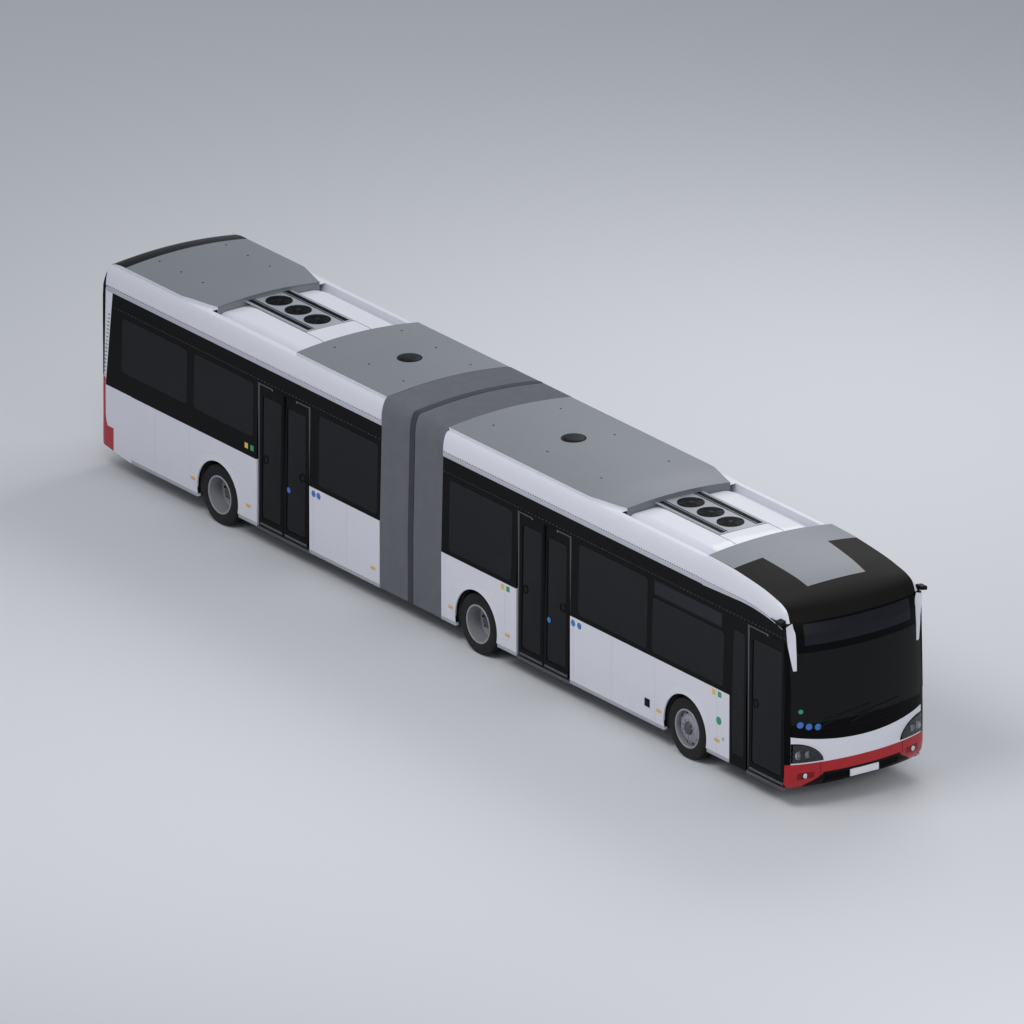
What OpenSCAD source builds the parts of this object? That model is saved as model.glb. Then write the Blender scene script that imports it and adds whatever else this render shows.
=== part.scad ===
// Articulated low-floor city bus. Frame: +X forward, +Y the bus's left, +Z up,
// origin on the ground under the middle of the whole vehicle. Millimetres.

/* [Body] */
// Overall length
body_l = 18150; // [17400:50:18700]
// Overall width over the side panels
body_w = 2550; // [2450:10:2600]
// Height of the roof's crown
roof_z = 3420; // [3360:10:3500]
// Height of the skirt's lower edge
skirt_z = 295; // [270:5:330]
// Height of the belt line between lower panels and window band
belt_z = 1380; // [1300:10:1420]
// Height of the band's upper edge, where the roof shoulder starts
band_z = 2900; // [2850:10:2960]
// Inward lean of the side at the band's upper edge
lean = 38; // [20:1:60]
// Thickness of walls, roof skin and nose
wall_t = 60; // [40:1:80]
// Thickness of a bonded glass pane
glass_t = 8; // [5:1:12]

/* [Floor] */
// Height of the low floor's upper face
floor_z = 310; // [300:1:325]
// Thickness of the floor
floor_t = 48; // [40:1:50]
// Height of the ceiling
ceiling_z = 3050; // [3030:5:3070]

/* [Wheels] */
// Tyre radius
tyre_r = 478.5; // [460:0.5:485]
// Tyre width
tyre_w = 276; // [250:1:290]
// Rim seat radius
rim_r = 292; // [280:1:300]
// Distance from the middle plane to the outer tyres' centre planes
track_y = 1117; // [1090:1:1125]
// Distance between the centre planes of twin tyres
twin_gap = 330; // [310:1:345]
// Front axle position
front_x = 6300; // [6100:10:6350]
// Middle axle position
mid_x = 930; // [900:10:1000]
// Rear axle position
rear_x = -5855; // [-5950:10:-5800]
// Radius of the wheel arches
arch_r = 545; // [520:1:570]

/* [Doors] */
// Height of the leaves' lower edge above the floor
leaf_lift = 35; // [30:1:45]
// Height of the door opening's upper edge
header_z = 2630; // [2600:5:2700]
// Thickness of a door leaf
leaf_t = 36; // [30:1:40]
// Width of the mid and rear door openings
double_w = 1390; // [1300:10:1400]
// Rear edge of the middle door opening
mid_door_x = 1960; // [1940:10:1980]
// Rear edge of the rear door opening
rear_door_x = -4825; // [-4850:5:-4800]
// Rear edge of the front door's leaf opening
front_door_x = 7835; // [7800:5:7860]
// Width of the front door's leaf opening
single_w = 955; // [900:5:960]
// Radius of the turning door posts
post_r = 18; // [14:1:20]

/* [Articulation] */
// Pivot of the articulation
pivot_x = -790; // [-800:5:-780]
// Length of the whole bellows
bellows_l = 1615; // [1560:5:1640]
// Length of the middle hoop
hoop_l = 130; // [100:5:140]
// Radius of the turntable disc
table_r = 740; // [700:5:745]

/* [Hidden] */

hw = body_w / 2;                      // half width
nose_x = body_l / 2;                  // foremost point
tail_x = -body_l / 2;                 // rearmost point
front_end_x = pivot_x + bellows_l / 2 + 2.5;   // rear end of the front section
rear_end_x = pivot_x - bellows_l / 2 + 2.5;    // front end of the rear section
corner_x = nose_x - 275;              // where the side starts to curve into the nose
tail_corner_x = tail_x + 215;         // where the side starts to curve into the tail
wheel_z = tyre_r;                     // the tyres stand on the ground
seam = 0.3;                           // gap between pieces that seat in one another
play = 5;                             // clearance round moving pieces
tail_floor_x = tail_x + 915;          // where the low floor ends at the tail
big = 30000;                          // larger than the bus, for cuts

white = [0.86, 0.86, 0.9];
black = [0.02, 0.02, 0.025];
roof_grey = [0.45, 0.47, 0.5];
glass_tint = [0.13, 0.13, 0.15];
steel = [0.55, 0.56, 0.6];

// ---------------------------------------------------------------- helpers

// Points on an ellipse from angle a0 to a1
function arc(cx, cy, rx, ry, a0, a1, n) =
    [for (i = [0:n]) let (a = a0 + (a1 - a0) * i / n) [cx + rx * cos(a), cy + ry * sin(a)]];

// Rounded rectangle as a point list
function rounded(x0, x1, y0, y1, r) = concat(
    arc(x1 - r, y1 - r, r, r, 0, 90, 4), arc(x0 + r, y1 - r, r, r, 90, 180, 4),
    arc(x0 + r, y0 + r, r, r, 180, 270, 4), arc(x1 - r, y0 + r, r, r, 270, 360, 4));

function mirrored(points) =
    concat(points, [for (i = [len(points) - 1:-1:0]) [-points[i][0], points[i][1]]]);

// Half width of the side's outer face at height z
function side_y(z) = hw - (z > belt_z ? lean * (z - belt_z) / (band_z - belt_z) : 0);

// Box between a low corner and a high corner
module block(low, high) {
    translate(low) cube(high - low);
}

// Extrudes a (y, z) outline along X from x0 to x1
module along_x(x0, x1) {
    translate([x0, 0, 0]) rotate([90, 0, 90]) linear_extrude(x1 - x0) children();
}

// Extrudes an (x, z) outline along Y from y0 to y1
module along_y(y0, y1) {
    translate([0, y1, 0]) rotate([90, 0, 0]) linear_extrude(y1 - y0) children();
}

// Puts children on side s: 1 is left, -1 is right
module side(s) {
    if (s > 0) children();
    else mirror([0, 1, 0]) children();
}

// A stretch of the side's skin between depths d0 and d1 below its outer face
module skin(x0, x1, z0, z1, d0, d1) {
    bends = z0 < belt_z && z1 > belt_z ? [belt_z] : [];
    heights = concat([z0], bends, [z1]);
    last = len(heights) - 1;
    along_x(x0, x1) polygon(concat(
        [for (i = [0:last]) [side_y(heights[i]) - d0, heights[i]]],
        [for (i = [last:-1:0]) [side_y(heights[i]) - d1, heights[i]]]));
}

// Prism through a side wall, from inside the wall to outside it
module wall_cut(x0, x1, z0, z1, r) {
    along_y(hw - 3 * wall_t, hw + wall_t) polygon(rounded(x0, x1, z0, z1, r));
}

// ---------------------------------------------------------------- body outline

shoulder_z = band_z + 80;             // foot of the roof shoulder
rail_z = roof_z - 130;                // top of the roof rails
rail_y = hw - 145;                    // outer edge of the rails' top
rail_in_y = rail_y - 80;              // inner face of the rails
deck_z = roof_z - 260;                // roof deck between the rails, at its middle
edge_z = roof_z - 80;                 // edge of a roof cover

// Shoulder from the band's upper edge to the rail's top
function shoulder(d) = concat([[side_y(band_z) - d, band_z]],
    arc(rail_y - d, shoulder_z, side_y(band_z) - rail_y, rail_z - shoulder_z, 0, 90, 8));

// Camber from y = half to the crown, falling by drop at the edge
function camber(half, crown, drop) =
    [for (i = [0:8]) let (y = half * (1 - i / 8)) [y, crown - drop * pow(y / half, 2)]];

module outline(d) {
    polygon(mirrored(concat([[hw - d, 0], [hw - d, belt_z]], shoulder(d),
        camber(rail_y - 2 - d, roof_z - d, roof_z - edge_z))));
}

// Seen from above: shallow bows at nose and tail, with tight corners to the sides
nose_bow = 75;
tail_bow = 27;
bow_half = hw - 125;                  // where the bow ends and the corner starts
function bow(y, depth) = depth * pow(y / 750, 2);
module plan(d) {
    nose_len = nose_x - bow(bow_half, nose_bow) - corner_x;
    tail_len = tail_corner_x - tail_x - bow(bow_half, tail_bow);
    corner_w = hw - bow_half;
    half = concat(
        [for (i = [0:8]) let (y = (bow_half - d) * i / 8) [nose_x - d - bow(y, nose_bow), y]],
        [for (a = [72:-18:0])
            [corner_x - d + nose_len * sin(a), bow_half - d + corner_w * cos(a)]],
        [for (a = [0:18:72])
            [tail_corner_x + d - tail_len * sin(a), bow_half - d + corner_w * cos(a)]],
        [for (i = [8:-1:0]) let (y = (bow_half - d) * i / 8)
            [tail_x + d + bow(y, tail_bow), y]]);
    polygon(concat(half, [for (i = [len(half) - 2:-1:1]) [half[i][0], -half[i][1]]]));
}

// Seen from the side. Columns: distance behind the foremost point, height
NOSE_LINE = [[135, 290], [0, 500], [0, 1000], [12, 1300], [45, 2430], [145, 2920],
    [300, 3080], [500, 3165], [725, 3230], [1100, 3320], [1760, 3410], [2400, 3420]];
// Seen from the side. Columns: distance ahead of the rearmost point, height
TAIL_LINE = [[900, 3420], [560, 3395], [330, 3320], [185, 3180], [125, 2980], [60, 2100],
    [0, 1300], [0, 500], [60, 400], [430, 345], [915, 290]];
module profile(d) {
    polygon(concat(
        [for (p = NOSE_LINE) [nose_x - p[0] - d, min(p[1], roof_z) - (p[1] > 2950 ? d : 0)]],
        [for (p = TAIL_LINE) [tail_x + p[0] + d, min(p[1], roof_z) - (p[1] > 2950 ? d : 0)]]));
}

// The whole body's outer form, or a form d below its surface
module form(d) {
    intersection() {
        along_x(tail_x - wall_t, nose_x + wall_t) outline(d);
        linear_extrude(roof_z + wall_t) plan(d);
        along_y(-body_w, body_w) profile(d);
    }
}

// The body's wall within the children's space, between depths d0 and d1
module shell(d0, d1) {
    difference() {
        intersection() {
            form(d0);
            union() children();
        }
        form(d1);
    }
}

// ---------------------------------------------------------------- tables

// Side windows. Columns: rear edge, front edge, sill, top
low_sill = belt_z + 60;
high_sill = belt_z + 310;
window_top = 2580;
window_r = 80;
FRONT_RIGHT_WINDOWS = [[190, 1830, low_sill, window_top], [3530, 5310, low_sill, window_top],
    [5420, 7260, low_sill, window_top - 260]];
FRONT_LEFT_WINDOWS = [[190, 1830, low_sill, window_top], [1990, 3400, low_sill, window_top],
    [3530, 5310, low_sill, window_top], [5420, 7260, low_sill, window_top],
    [7420, 8560, low_sill, window_top]];
REAR_RIGHT_WINDOWS = [[-8450, -6690, high_sill, window_top], [-6530, -4930, high_sill, window_top],
    [-3220, -1660, low_sill, window_top]];
REAR_LEFT_WINDOWS = concat(REAR_RIGHT_WINDOWS, [[-4820, -3380, low_sill, window_top]]);

// Door leaves: a post turns at the opening's edge, its two arms carry the leaf at its middle
post_inset = 25;                      // post axis from the opening's edge
leaf_gap = 28;                        // post axis to the leaf's edge
meet_gap = 4;                         // half the gap between two leaves
leaf_z0 = floor_z + leaf_lift;
leaf_z1 = header_z - 30;
double_leaf_w = double_w / 2 - post_inset - leaf_gap - meet_gap;
single_leaf_w = single_w - post_inset - leaf_gap - 2 * meet_gap;
leaf_y = (side_y(leaf_z0) + side_y(leaf_z1)) / 2 - leaf_t / 2 - 4;   // pins and posts
fixed_panel_w = 420;                  // narrow glazed panel behind the front door

// Axles. Columns: position, inner edge of the wheel box, half length of the box, box top
STEER_BOX = [front_x, 520, 620, 1075];
MID_BOX = [mid_x, 500, 560, 1060];
REAR_BOX = [rear_x, 500, 560, 1060];
box_t = 20;

// ---------------------------------------------------------------- floors and panels

// Closed box over a pair of wheels, open below and outward
module wheel_boxes(b) {
    for (s = [-1, 1]) side(s) difference() {
        block([b[0] - b[2] - box_t, b[1] - box_t, floor_z - floor_t],
              [b[0] + b[2] + box_t, hw - wall_t, b[3] + box_t]);
        block([b[0] - b[2], b[1], 0], [b[0] + b[2], hw, b[3]]);
    }
}
module front_wheel_boxes() color(steel) for (b = [STEER_BOX, MID_BOX]) wheel_boxes(b);

module floor_slab(x0, x1, boxes) {
    difference() {
        block([x0, -hw + wall_t, floor_z - floor_t], [x1, hw - wall_t, floor_z]);
        for (b = boxes, s = [-1, 1]) side(s)
            block([b[0] - b[2] - box_t - seam, b[1] - box_t - seam, 0],
                  [b[0] + b[2] + box_t + seam, hw, b[3]]);
        // the floors end clear of the turntable
        translate([pivot_x, 0, floor_z - floor_t - 1])
            cylinder(r = table_r + play, h = floor_t + 2, $fn = 128);
    }
}

// Step edge under a door opening on the right side
module step_edge(x, w) {
    block([x, -hw + 13, floor_z - floor_t], [x + w, -hw + wall_t, floor_z]);
}

// Longitudinal chassis beams under the floor, between the axles' beams
module beams(spans) {
    for (span = spans, s = [-1, 1]) side(s)
        block([span[0], 330, floor_z - floor_t - 90], [span[1], 410, floor_z - floor_t]);
}

// Layered joint plates under the turntable
plate_t = 26;
pin_r = 60;
pin_play = 0.05;
tongue_w = 420;
function layer_z(n) = floor_z - floor_t - n * (plate_t + play);
module tongue(n, x_end, s) {
    difference() {
        union() {
            translate([pivot_x, 0, layer_z(n)]) cylinder(r = tongue_w / 2, h = plate_t, $fn = 64);
            block([min(pivot_x, x_end), -tongue_w / 2, layer_z(n)],
                  [max(pivot_x, x_end), tongue_w / 2, layer_z(n) + plate_t]);
        }
        translate([pivot_x, 0, 0]) cylinder(r = pin_r + pin_play, h = floor_z, $fn = 64);
    }
    // riser that joins the plate to the floor above it
    block([s > 0 ? x_end : x_end - 60, -tongue_w / 2, layer_z(n)],
          [s > 0 ? x_end + 60 : x_end, tongue_w / 2, floor_z - floor_t]);
}

module front_floor() color(steel) {
    floor_slab(front_end_x, corner_x - 60, [STEER_BOX, MID_BOX]);
    step_edge(mid_door_x, double_w);
    step_edge(front_door_x, single_w - 10);
    beams([[front_end_x + 60, mid_x - 90], [mid_x + 90, front_x - 90], [front_x + 90, corner_x - 200]]);
    tongue(2, front_end_x, 1);
    tow_bracket();
}

tail_floor_z = floor_z + 100;         // underside of the raised floor
tail_floor_y = hw - wall_t - 160;     // its half width, clear of the round corners
tail_floor_gap = 2 * wall_t + 10;     // its rear edge from the rearmost point
module rear_floor() color(steel) {
    floor_slab(tail_floor_x, rear_end_x, [REAR_BOX]);
    wheel_boxes(REAR_BOX);
    // the tail's floor is raised behind the last seats
    block([tail_x + tail_floor_gap, -tail_floor_y, tail_floor_z],
          [tail_floor_x + floor_t, tail_floor_y, tail_floor_z + floor_t]);
    block([tail_floor_x, -tail_floor_y, floor_z],
          [tail_floor_x + floor_t, tail_floor_y, tail_floor_z + 1]);
    step_edge(rear_door_x, double_w);
    beams([[tail_floor_x + 60, rear_x - 90], [rear_x + 90, rear_end_x - 60]]);
    tongue(1, rear_end_x, -1);
}

module arches() {
    for (x = [front_x, mid_x, rear_x]) {
        translate([x, 0, wheel_z]) rotate([90, 0, 0]) cylinder(r = arch_r, h = big, center = true, $fn = 96);
        block([x - arch_r, -body_w, 0], [x + arch_r, body_w, wheel_z]);
    }
}

module front_lower_panels() color(white) difference() {
    union() {
        mirror([0, 1, 0]) skin(front_end_x, mid_door_x, skirt_z, belt_z, 0, wall_t);
        mirror([0, 1, 0])
            skin(mid_door_x + double_w, front_door_x - fixed_panel_w, skirt_z, belt_z, 0, wall_t);
        skin(front_end_x, corner_x, skirt_z, belt_z, 0, wall_t);
    }
    arches();
}

module rear_lower_panels() color(white) difference() {
    intersection() {
        union() {
            mirror([0, 1, 0]) skin(tail_corner_x, rear_door_x, skirt_z, belt_z, 0, wall_t);
            mirror([0, 1, 0])
                skin(rear_door_x + double_w, rear_end_x, skirt_z, belt_z, 0, wall_t);
            skin(tail_corner_x, rear_end_x, skirt_z, belt_z, 0, wall_t);
        }
        along_y(-body_w, body_w) profile(0);
    }
    arches();
    block([tail_x, -body_w, 0], [tail_x + bumper_len, body_w, tail_bumper_top]);
}

module window_cuts(windows, s) {
    for (w = windows) side(s) wall_cut(w[0], w[1], w[2], w[3], window_r);
}

glass_z0 = leaf_z0 + 125;             // lower edge of the door glass
glass_z1 = leaf_z1 - 160;             // upper edge of the door glass
door_glass_r = 40;
stile_w = 75;                         // width of a leaf's side frame
FIXED_PANE = [front_door_x - fixed_panel_w + 60, front_door_x - 60, glass_z0, glass_z1];

module front_window_band() color(black) difference() {
    union() {
        skin(front_end_x, corner_x, belt_z, band_z, 0, wall_t);
        mirror([0, 1, 0]) difference() {
            union() {
                skin(front_end_x, corner_x, belt_z, band_z, 0, wall_t);
                skin(front_door_x - fixed_panel_w, front_door_x, skirt_z, belt_z, 0, wall_t);
            }
            block([mid_door_x, 0, 0], [mid_door_x + double_w, hw, header_z]);
            block([front_door_x, 0, 0], [front_door_x + single_w, hw, header_z]);
            wall_cut(FIXED_PANE[0], FIXED_PANE[1], FIXED_PANE[2], FIXED_PANE[3], door_glass_r);
        }
    }
    window_cuts(FRONT_LEFT_WINDOWS, 1);
    window_cuts(FRONT_RIGHT_WINDOWS, -1);
}

module rear_window_band() color(black) difference() {
    union() {
        skin(tail_corner_x, rear_end_x, belt_z, band_z, 0, wall_t);
        mirror([0, 1, 0]) difference() {
            skin(tail_corner_x, rear_end_x, belt_z, band_z, 0, wall_t);
            block([rear_door_x, 0, 0], [rear_door_x + double_w, hw, header_z]);
        }
    }
    window_cuts(REAR_LEFT_WINDOWS, 1);
    window_cuts(REAR_RIGHT_WINDOWS, -1);
}

// Pane that fills a window cut but for the seam
module pane(w, r) {
    intersection() {
        skin(w[0] + seam, w[1] - seam, w[2] + seam, w[3] - seam, 2, 2 + glass_t);
        along_y(0, hw + 1) polygon(rounded(w[0] + seam, w[1] - seam, w[2] + seam, w[3] - seam, r));
    }
}

module front_windows() color(glass_tint) {
    for (w = FRONT_LEFT_WINDOWS) pane(w, window_r);
    mirror([0, 1, 0]) {
        for (w = FRONT_RIGHT_WINDOWS) pane(w, window_r);
        pane(FIXED_PANE, door_glass_r);
    }
}

// Rear screen in the tail panel. Columns: half width, sill, top
REAR_SCREEN = [950, 1720, 2560];
module screen_cut(gap) {
    rotate([90, 0, 90]) linear_extrude(2 * body_w, center = true)
        polygon(rounded(-REAR_SCREEN[0] + gap, REAR_SCREEN[0] - gap,
                        REAR_SCREEN[1] + gap, REAR_SCREEN[2] - gap, 90));
}

module rear_windows() color(glass_tint) {
    for (w = REAR_LEFT_WINDOWS) pane(w, window_r);
    mirror([0, 1, 0]) for (w = REAR_RIGHT_WINDOWS) pane(w, window_r);
    shell(2, 2 + glass_t) translate([tail_x, 0, 0]) screen_cut(seam);
}

// ---------------------------------------------------------------- roof

function reversed(points) = [for (i = [len(points) - 1:-1:0]) points[i]];

// Height of the roof deck at distance y from the middle
deck_fall = 30;
function deck_at(y) = deck_z - deck_fall * y / (rail_in_y - 10);

// Roof skin with its shoulders, rails and sunken deck
module roof_skin(x0, x1) {
    outer = concat(shoulder(0),
        [[rail_in_y, rail_z], [rail_in_y - 10, deck_z - deck_fall], [0, deck_z]]);
    inner = [[side_y(band_z) - wall_t, band_z], [side_y(band_z) - 2 * wall_t, band_z + 100],
             [rail_in_y - 60, ceiling_z - 20], [0, ceiling_z]];
    along_x(x0, x1) polygon(concat(mirrored(outer), reversed(mirrored(inner))));
}

dome_x = nose_x - 2395;               // rear edge of the front dome
tail_cap_x = tail_x + 565;            // front edge of the rear end cap

module front_roof() color(white) roof_skin(front_end_x, dome_x);
module rear_roof() color(white) roof_skin(tail_corner_x, rear_end_x);

cover_t = 30;
cover_edge = 40;                      // width of a cover's foot on the rail
cover_nose = 680;                     // length of a cover's narrowing nose
nose_y = 950;                         // half width of the nose's front edge
front_cover_x = 4360;                 // front edge of the front section's cover
rear_cover_x = -3970;                 // rear edge of the cover behind the bellows
tail_cover_x = -6310;                 // front edge of the tail's cover
unit_gap = 5;                         // between an air unit and its neighbours
hatch_r = 195;
front_hatch_x = 1660;
rear_hatch_x = -2600;
front_fan_x = 5170;                   // middle fan of each air unit
rear_fan_x = -5530;

// Cambered cover that stands on the rails, with a nose that narrows forward
module cover(x0, x1, nosed) {
    half = rail_y - 2;
    rise = roof_z - edge_z;
    intersection() {
        union() {
            along_x(x0, x1) polygon(concat(
                mirrored(concat([[half, rail_z]], camber(half, roof_z, rise))),
                reversed(mirrored(concat([[half - cover_edge, rail_z]],
                    camber(half - cover_edge, roof_z - cover_t, rise - 10))))));
            // the nose's front face stands on the roof deck
            if (nosed) along_x(x1 - cover_t, x1) polygon(concat([[0, deck_z]],
                mirrored(concat([[nose_y, deck_at(nose_y)], [nose_y, edge_z]],
                                camber(half, roof_z, rise)))));
        }
        linear_extrude(2 * roof_z) polygon(nosed
            ? [[x0, -half], [x1 - cover_nose, -half], [x1, -nose_y],
               [x1, nose_y], [x1 - cover_nose, half], [x0, half]]
            : [[x0, -half], [x1, -half], [x1, half], [x0, half]]);
    }
}

// Round roof hatch on a cover
module hatch(x) {
    translate([x, 0, roof_z - cover_t - 20]) cylinder(r = hatch_r, h = cover_t + 32, $fn = 64);
}

module front_roof_covers() color(roof_grey) {
    cover(front_end_x, front_cover_x, true);
    hatch(front_hatch_x);
}

module rear_roof_covers() color(roof_grey) {
    cover(rear_cover_x, rear_end_x, false);
    hatch(rear_hatch_x);
    cover(tail_cap_x, tail_cover_x, true);
}

battery_y = 900;
FRONT_BATTERY = [500, 3500];          // rear end, front end
TAIL_BATTERY = [-8300, -6700];
drive_w = 1100;                       // width and height of the block in the tail
drive_h = 760;
module battery(x0, x1) {
    block([x0, -battery_y, deck_z], [x1, battery_y, rail_z - 10]);
}
module front_battery() color(steel) battery(FRONT_BATTERY[0], FRONT_BATTERY[1]);
module rear_batteries() color(steel) {
    battery(TAIL_BATTERY[0], TAIL_BATTERY[1]);
    // the block behind the last seats
    block([tail_floor_x + floor_t + play, -drive_w / 2, floor_z],
          [tail_floor_x + 950, drive_w / 2, floor_z + drive_h]);
}

// Roof air unit: hood with rounded shoulders and three fan wells
hood_y = 950;
hood_z = 3300;
fan_r = 208;
fan_pitch = 505;
module air_unit(x0, x1, fan_x) {
    difference() {
        along_x(x0, x1) polygon(mirrored(concat([[hood_y, deck_at(hood_y)]],
            arc(hood_y - 130, hood_z - 100, 130, 92, 0, 90, 5), [[0, hood_z]])));
        // the underside follows the roof deck
        along_x(x0 - 1, x1 + 1)
            polygon([[-hood_y, deck_at(hood_y)], [0, deck_z], [hood_y, deck_at(hood_y)],
                     [hood_y, 0], [-hood_y, 0]]);
        for (i = [-1:1]) translate([fan_x + i * fan_pitch, 0, hood_z - 60])
            cylinder(r = fan_r, h = 200, $fn = 64);
    }
}
module front_air_unit() color(white)
    air_unit(front_cover_x + unit_gap, dome_x - unit_gap, front_fan_x);
module rear_air_unit() color(white)
    air_unit(tail_cover_x + unit_gap, rear_cover_x - unit_gap, rear_fan_x);

// ---------------------------------------------------------------- nose and tail

screen_top = 2430;
screen_foot = 1310;
bumper_top = 700;
pillar_len = 70;
lower_z = 270;

module front_dome() color(black) {
    shell(0, wall_t) {
        block([dome_x, -hw, band_z], [corner_x, hw, roof_z + 1]);
        block([corner_x, -hw, screen_top], [nose_x + 1, hw, roof_z + 1]);
        // corner pillars down to the bumper
        block([corner_x, -hw, bumper_top], [corner_x + pillar_len, hw, screen_top + 1]);
    }
    // bulkhead against the air unit
    intersection() {
        form(wall_t);
        block([dome_x, -hw, ceiling_z], [dome_x + 30, hw, roof_z]);
    }
}

module windscreen() color(glass_tint)
    shell(0, 12) block([corner_x + pillar_len + seam, -hw, screen_foot + seam],
                       [nose_x + 1, hw, screen_top - seam]);

// Headlamp outline seen from the front, gap inside its pocket's edge
module lamp_outline(s, gap) {
    side(s) rotate([90, 0, 90]) linear_extrude(2 * body_w)
        polygon([[760 + 2 * gap, 850], [860, 985 - gap], [1180 - gap, 1040 - gap],
                 [1180 - gap, 720 + gap], [850, 720 + gap]]);
}

module front_mask() color(white) difference() {
    shell(0, wall_t) block([corner_x + pillar_len, -hw, bumper_top], [nose_x + 1, hw, screen_foot]);
    for (s = [-1, 1]) translate([corner_x + pillar_len + 15, 0, 0]) lamp_outline(s, 0);
}

module headlamps() color(glass_tint) for (s = [-1, 1])
    shell(2, 45) intersection() {
        translate([corner_x + pillar_len + 15 + seam, 0, 0]) lamp_outline(s, seam);
        block([corner_x, -hw, 0], [nose_x + 1, hw, roof_z]);
    }

tow_r = 22;
tow_z = 430;
tow_y = 350;
tow_len = 120;
module front_bumper() color([0.6, 0.02, 0.05]) difference() {
    shell(0, wall_t) block([corner_x, -hw, lower_z], [nose_x + 1, hw, bumper_top]);
    translate([corner_x, -tow_y, tow_z]) rotate([0, 90, 0]) cylinder(r = 55, h = 600, $fn = 48);
}

// Bracket with the socket for a towing eye, behind the bumper
module tow_bracket() {
    difference() {
        union() {
            block([corner_x - 60, -tow_y - 60, floor_z - floor_t],
                  [corner_x + 60, -tow_y + 60, tow_z + 60]);
            translate([corner_x + 60, -tow_y, tow_z]) rotate([0, 90, 0]) cylinder(r = 45, h = 110, $fn = 48);
        }
        translate([corner_x + 170 - tow_len, -tow_y, tow_z]) rotate([0, 90, 0])
            cylinder(r = tow_r, h = tow_len + 1, $fn = 48);
    }
}

// Two wiper arms parked along the glass's lower edge
module wipers() color(black) {
    shell(-10, -seam) translate([corner_x, 0, 0]) rotate([90, 0, 90]) linear_extrude(wall_t + 400) {
        polygon([[-780, 1335], [60, 1420], [60, 1445], [-780, 1360]]);
        polygon([[-100, 1325], [800, 1360], [800, 1385], [-100, 1350]]);
    }
}

module camera_pods() color(black) for (s = [-1, 1]) side(s)
    block([corner_x - 150, side_y(band_z), band_z + 6], [corner_x - 10, side_y(band_z) + 110, band_z + 70]);

bumper_len = 435;
tail_bumper_top = 720;
tail_lamp = [1010, 1120, 900, 1500];
module tail_region(gap) {
    for (s = [-1, 1]) side(s) translate([tail_x - 1, 0, 0]) rotate([90, 0, 90]) linear_extrude(200)
        polygon(rounded(tail_lamp[0] + gap, tail_lamp[1] - gap, tail_lamp[2] + gap, tail_lamp[3] - gap, 50));
}
module tail_panel() color(white) {
    difference() {
        shell(0, wall_t) {
            block([tail_x - 1, -hw, tail_bumper_top], [tail_corner_x, hw, roof_z + 1]);
            block([tail_x - 1, -hw, rail_z], [tail_cap_x, hw, roof_z + 1]);
        }
        translate([tail_x, 0, 0]) screen_cut(0);
        tail_region(0);
    }
}

module tail_lamps() color([0.6, 0.02, 0.05])
    shell(2, 45) tail_region(seam);

module rear_bumper() color([0.6, 0.02, 0.05])
    shell(0, wall_t) block([tail_x - 1, -hw, lower_z], [tail_x + bumper_len, hw, tail_bumper_top]);

// ---------------------------------------------------------------- inside

// Seat with its back towards -X. rear: position of the back, y: middle, w: width
seat_z = 420;
module seat(rear, y, w, base) {
    block([rear + 60, y - w / 2 + 60, base], [rear + 380, y + w / 2 - 60, base + seat_z - 70]);
    block([rear, y - w / 2, base + seat_z - 70], [rear + 450, y + w / 2, base + seat_z]);
    block([rear, y - w / 2, base + seat_z], [rear + 70, y + w / 2, base + seat_z + 600]);
}
seat_w = 840;
seat_y = hw - wall_t - 15 - seat_w / 2;
module seat_rows(rows, s) {
    for (x = rows) seat(x, s * seat_y, seat_w, floor_z);
}

// Backs' positions of the double seats
FRONT_LEFT_ROWS = [1960, 2710, 3460, 4210, 4960];
FRONT_RIGHT_ROWS = [3470, 4220, 4970];
REAR_LEFT_ROWS = [-7050, -4720, -3970, -3220, -2470];
REAR_RIGHT_ROWS = [-7050, -3220, -2470];
driver_x = 7560;
driver_y = 560;
driver_w = 520;
podium_h = 250;
module front_seats() color([0.1, 0.12, 0.25]) {
    seat_rows(FRONT_LEFT_ROWS, 1);
    seat_rows(FRONT_RIGHT_ROWS, -1);
    seat(driver_x, driver_y, driver_w, floor_z + podium_h);
    // podium under the driver's seat
    block([driver_x - 60, driver_y - 310, floor_z],
          [driver_x + 690, driver_y + 340, floor_z + podium_h]);
}

module rear_seats() color([0.1, 0.12, 0.25]) {
    seat_rows(REAR_LEFT_ROWS, 1);
    seat_rows(REAR_RIGHT_ROWS, -1);
}

module dashboard() color(black) {
    along_y(-700, 1150) polygon([[8560, floor_z], [8560, 880], [8340, 1000], [8370, 1090],
        [8620, 1180], [8720, 1180], [8720, floor_z]]);
    // steering wheel with its hub, spokes and column
    translate([8270, driver_y, 1150]) rotate([0, -62, 0]) {
        rotate_extrude($fn = 48) translate([225, 0]) circle(r = 16, $fn = 16);
        translate([0, 0, -12]) cylinder(r = 60, h = 32, $fn = 32);
        for (a = [90, 210, 330]) rotate([0, 0, a]) translate([20, -14, -5]) cube([204, 28, 10]);
        translate([0, 0, -250]) cylinder(r = 34, h = 251, $fn = 32);
    }
}

// ---------------------------------------------------------------- axles and wheels

beam_z0 = 165;
beam_z1 = 245;
kingpin_y = 980;                      // steering axis
kingpin_r = 28;
ear_t = 30;
knuckle_h = 90;                       // half height of the knuckle
spindle_r = 60;

// Air spring pads between an axle's beam and the floor
module spring_pads(x) {
    for (s = [-1, 1]) side(s) translate([x, 220, beam_z1])
        cylinder(r = 58, h = floor_z - floor_t - beam_z1, $fn = 48);
}

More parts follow.
